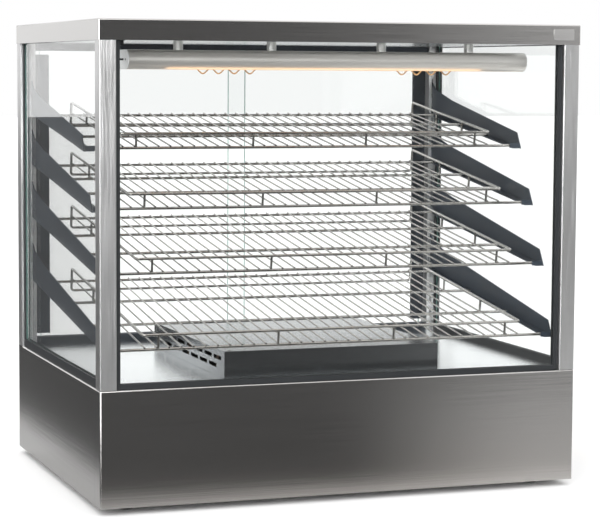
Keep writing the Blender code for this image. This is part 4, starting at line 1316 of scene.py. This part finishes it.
def face_of(node: str, start: Point, way: Point) -> Matrix:
    """Find the face of a frame node that a ray meets.

    Args:
        node: The frame node.
        start: Where the ray starts.
        way: The ray's direction.

    Returns:
        A place on that face, whose Z points out of it and whose Y points up it.
    """
    item = frame_nodes[node]
    back = item.matrix_world.inverted()
    hit, point, normal, _ = item.ray_cast(back @ Vector(start), back.to_3x3() @ Vector(way))
    if not hit:
        raise ValueError(f"the ray misses {node}")
    outward = (item.matrix_world.to_3x3() @ normal).normalized()
    across = Vector((0, 0, 1)).cross(outward).normalized()
    turn = Matrix((across, outward.cross(across), outward)).transposed().to_4x4()
    return Matrix.Translation(item.matrix_world @ point) @ turn


@dataclass
class Controls:
    """Thermostat, display, switches and mains inlet in the rear recess."""

    ribs: int = 26
    rib_reach: float = 0.0197
    rib_root: float = 0.0165
    rib_width: float = 0.0014
    rib_foot: float = 0.003
    rib_top: float = 0.0015
    pointer: tuple[float, float] = (0.0016, 0.0115)
    pointer_root: float = 0.005
    paint: float = 0.00015
    sheet: float = 0.0012
    dial_start: float = 0.0222
    dial_step: int = 30
    dial_span: int = 300
    tick: float = 0.0006
    short_tick: float = 0.0018
    long_tick: float = 0.0030
    numbers_at: tuple[float, float] = (0.0291, 0.0281)
    number_height: float = 0.0036
    number_stroke: float = 0.0004
    bezel_depth: float = 0.0012
    lens: Point = (0.0436, 0.0007, 0.0176)
    digit_height: float = 0.0115
    digit_stroke: float = 0.0008
    digit_shift: float = 0.0025
    degree_place: tuple[float, float] = (-0.0119, 0.0047)
    degree_size: float = 0.0012
    mark_reach: float = 0.0072
    mark_line: tuple[float, float] = (0.0006, 0.0036)
    mark_ring: tuple[float, float] = (0.0013, 0.0019)
    mark_root: float = 0.0001
    pin: Point = (0.0020, 0.0120, 0.0052)
    pin_places: tuple[tuple[float, float], ...] = ((-0.007, -0.0020), (0.0, 0.0030), (0.007, -0.0020))
    socket_depth: float = 0.0160

    def build(self) -> None:
        """Make and dress the controls."""
        self.dark = Moulded(colour=(0.014, 0.014, 0.015), roughness=0.37)
        self.white = Moulded(colour=(0.80, 0.80, 0.78), roughness=0.45)
        dress(self.dark, "thermostat_body", "thermostat_knob", "switch_frame", "lamp_rocker",
              "power_inlet", "temperature_display")
        dress(Moulded(colour=(0.50, 0.015, 0.012), roughness=0.23), "power_rocker")
        self._knob()
        self._dial()
        self._display()
        for node, body in (("power_rocker", "power_switch_rocker"),
                           ("lamp_rocker", "lamp_switch_rocker")):
            self._rocker_marks(node, body)
        self._pins()

    def _knob(self) -> None:
        """Ribs round the knob and its pointer, at the top when it is off."""
        low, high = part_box("thermostat_knob")
        axis = centre_of("thermostat_knob")
        shape = Shape()
        start, stop = low.y + self.rib_foot - axis.y, high.y - self.rib_top - axis.y
        rib = (self.rib_width, stop - start, self.rib_reach - self.rib_root)
        for index in range(self.ribs):
            turn = (Matrix.Translation(axis)
                    @ Matrix.Rotation(math.tau * (index + 0.5) / self.ribs, 4, "Y"))
            shape.block((0, (start + stop) / 2, (self.rib_root + self.rib_reach) / 2), rib, 0.0003,
                        1, turn)
        shape.finish("knob_ribs", (self.dark,), "knob", "black_plastic")
        wide, long = self.pointer
        pointer = Shape()
        pointer.block((axis.x, high.y + (self.paint - GAP) / 2, axis.z + self.pointer_root + long / 2),
                      (wide, self.paint + GAP, long))
        pointer.finish("knob_pointer", (self.white,), "knob", None)

    def _dial(self) -> None:
        """Ticks and numbers printed round the knob, clockwise from the top."""
        axis = centre_of("thermostat_knob")
        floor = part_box("control_panel")[0].y + self.sheet
        ink = Digits(Shape(), floor, self.paint)
        for angle in range(0, self.dial_span + 1, self.dial_step):
            turn = Matrix.Translation(axis) @ Matrix.Rotation(math.radians(-angle), 4, "Y")
            long = self.short_tick if angle % 90 else self.long_tick
            ink.shape.block((0, floor - axis.y + self.paint / 2, self.dial_start + long / 2),
                            (self.tick, self.paint, long), matrix=turn)
        for angle, text in ((90, "30"), (180, "60"), (270, "90"), (0, "0")):
            way = math.radians(angle)
            ink.write(text, axis.x - math.sin(way) * self.numbers_at[0],
                      axis.z + math.cos(way) * self.numbers_at[1], self.number_height,
                      self.number_stroke)
        ink.shape.finish("dial_print", (Moulded(colour=(0.02, 0.02, 0.02)),), CABINET, None)

    def _display(self) -> None:
        """Dark lens with two lit digits and a degree mark."""
        middle = centre_of("temperature_display")
        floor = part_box("temperature_display")[1].y - self.bezel_depth
        wide, thick, tall = self.lens
        lens = Shape()
        lens.block((middle.x, floor + (thick - GAP) / 2, middle.z), (wide, thick + GAP, tall), 0.0003, 1)
        glassy = Moulded(colour=(0.020, 0.003, 0.003), roughness=0.03, depth=0.0)
        lens.finish("display_lens", (glassy,), CABINET, "black_plastic")
        lit = Digits(Shape(), floor + thick, 0.0001)
        lit.write("65", middle.x + self.digit_shift, middle.z, self.digit_height, self.digit_stroke)
        x, z = self.degree_place
        lit.mark(middle.x + x, middle.z + z, self.degree_size, self.degree_size)
        lit.shape.finish("display_digits", (Glow(colour=(1.0, 0.04, 0.02), strength=2.5),),
                         CABINET, None)

    def _rocker_marks(self, node: str, body: str) -> None:
        """A line on one half of a rocker and a ring on the other."""
        middle = centre_of(node)
        upper, lower = (face_of(node, (middle.x, 1.0, middle.z + side * self.mark_reach), (0, -1, 0))
                        for side in (1, -1))
        marks = Shape()
        marks.block((0, 0, (self.paint - self.mark_root) / 2),
                    (*self.mark_line, self.paint + self.mark_root), matrix=upper)
        inner, outer = self.mark_ring
        low, high = -self.mark_root, self.paint
        marks.turned([(inner, low), (outer, low), (outer, high), (inner, high), (inner, low)],
                     (0, 0, 0), (0, 0, 1), 24, lower)
        marks.finish(f"{node}_marks", (self.white,), body, None)

    def _pins(self) -> None:
        """Three flat pins in the inlet's socket."""
        middle = centre_of("power_inlet")
        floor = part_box("power_inlet")[1].y - self.socket_depth
        wide, long, tall = self.pin
        shape = Shape()
        for x, z in self.pin_places:
            shape.block((middle.x + x, floor + (long - GAP) / 2, middle.z + z),
                        (wide, long + GAP, tall), 0.0004)
        shape.finish("inlet_pins", (BrightWire(),), CABINET, "chrome_wire")


@dataclass
class Screws:
    """Pan-head screws in the rear panel, control panel, duct cover, hood ends and inlet."""

    radius: float = 0.0032
    height: float = 0.0011
    recess: float = 0.00004
    sheet: float = 0.0012
    rear_x: tuple[float, ...] = (-0.436, 0.436, 0.03)
    rear_z: tuple[float, float] = (0.030, 0.200)
    control_inset: float = 0.009
    duct_inset: tuple[float, float] = (0.012, 0.010)
    hood_y: float = 0.020
    inlet_x: float = 0.0205

    def build(self) -> None:
        """Make every screw as one piece."""
        shape = Shape()
        for place, way, scale in self._places():
            self._screw(shape, Vector(place), Vector(way), scale)
        shape.finish("screws", (BrightWire(roughness=0.22), Moulded(colour=(0.01, 0.01, 0.01))),
                     CABINET, "chrome_wire")

    def _places(self) -> list[tuple[Point, Point, float]]:
        """Return each screw's place, direction and scale."""
        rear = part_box("rear_panel")[1].y
        spots = [((x, rear, z), (0, 1, 0), 1.0) for x in self.rear_x for z in self.rear_z]
        low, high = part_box("control_panel")
        inset = self.control_inset
        spots += [((x, low.y + self.sheet, z), (0, 1, 0), 0.7)
                  for x in (low.x + inset, high.x - inset) for z in (low.z + inset, high.z - inset)]
        low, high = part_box("duct_cover")
        across, deep = self.duct_inset
        spots += [((x, y, high.z), (0, 0, 1), 0.8) for x in (low.x + across, high.x - across)
                  for y in (low.y + deep, high.y - deep)]
        low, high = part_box("lamp_hood")
        middle = centre_of("lamp_hood")
        spots += [((x, middle.y + y, middle.z), (way, 0, 0), 0.6)
                  for x, way in ((low.x, -1), (high.x, 1)) for y in (-self.hood_y, self.hood_y)]
        inlet, rim = centre_of("power_inlet"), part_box("power_inlet")[1].y
        spots += [((inlet.x + x, rim, inlet.z), (0, 1, 0), 0.6)
                  for x in (-self.inlet_x, self.inlet_x)]
        return spots

    def _screw(self, shape: Shape, place: Vector, way: Vector, scale: float) -> None:
        """Add one screw head with a cross recess."""
        radius, height = self.radius * scale, self.height * scale
        shape.slot = 0
        shape.turned([(0, -GAP), (radius, -GAP), (radius, height * 0.3),
                      (radius * 0.8, height * 0.8), (radius * 0.4, height), (0, height)],
                     place, way, 16)
        shape.slot = 1
        turn = Matrix.Translation(place) @ way.to_track_quat("Z", "Y").to_matrix().to_4x4()
        for size in ((radius, radius * 0.24), (radius * 0.24, radius)):
            shape.box((-size[0] / 2, -size[1] / 2, height * 0.9),
                      (size[0] / 2, size[1] / 2, height + self.recess), matrix=turn)


# ---- build ----


def main() -> None:
    """Build the studio and every sub-assembly."""
    logging.basicConfig(level=logging.INFO, format="%(name)s: %(message)s")
    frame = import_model()
    frame_nodes.update(frame["nodes"])
    bpy.context.scene.view_settings.view_transform = "Standard"
    bpy.context.scene.cycles.transparent_max_bounces = 32
    for assembly in (Studio(), Shell(), Glazing(), Racks(), LampHood(), AirSystem(), Controls(),
                     Screws()):
        log.info("building %s", type(assembly).__name__)
        assembly.build()


if __name__ == "__main__":
    main()
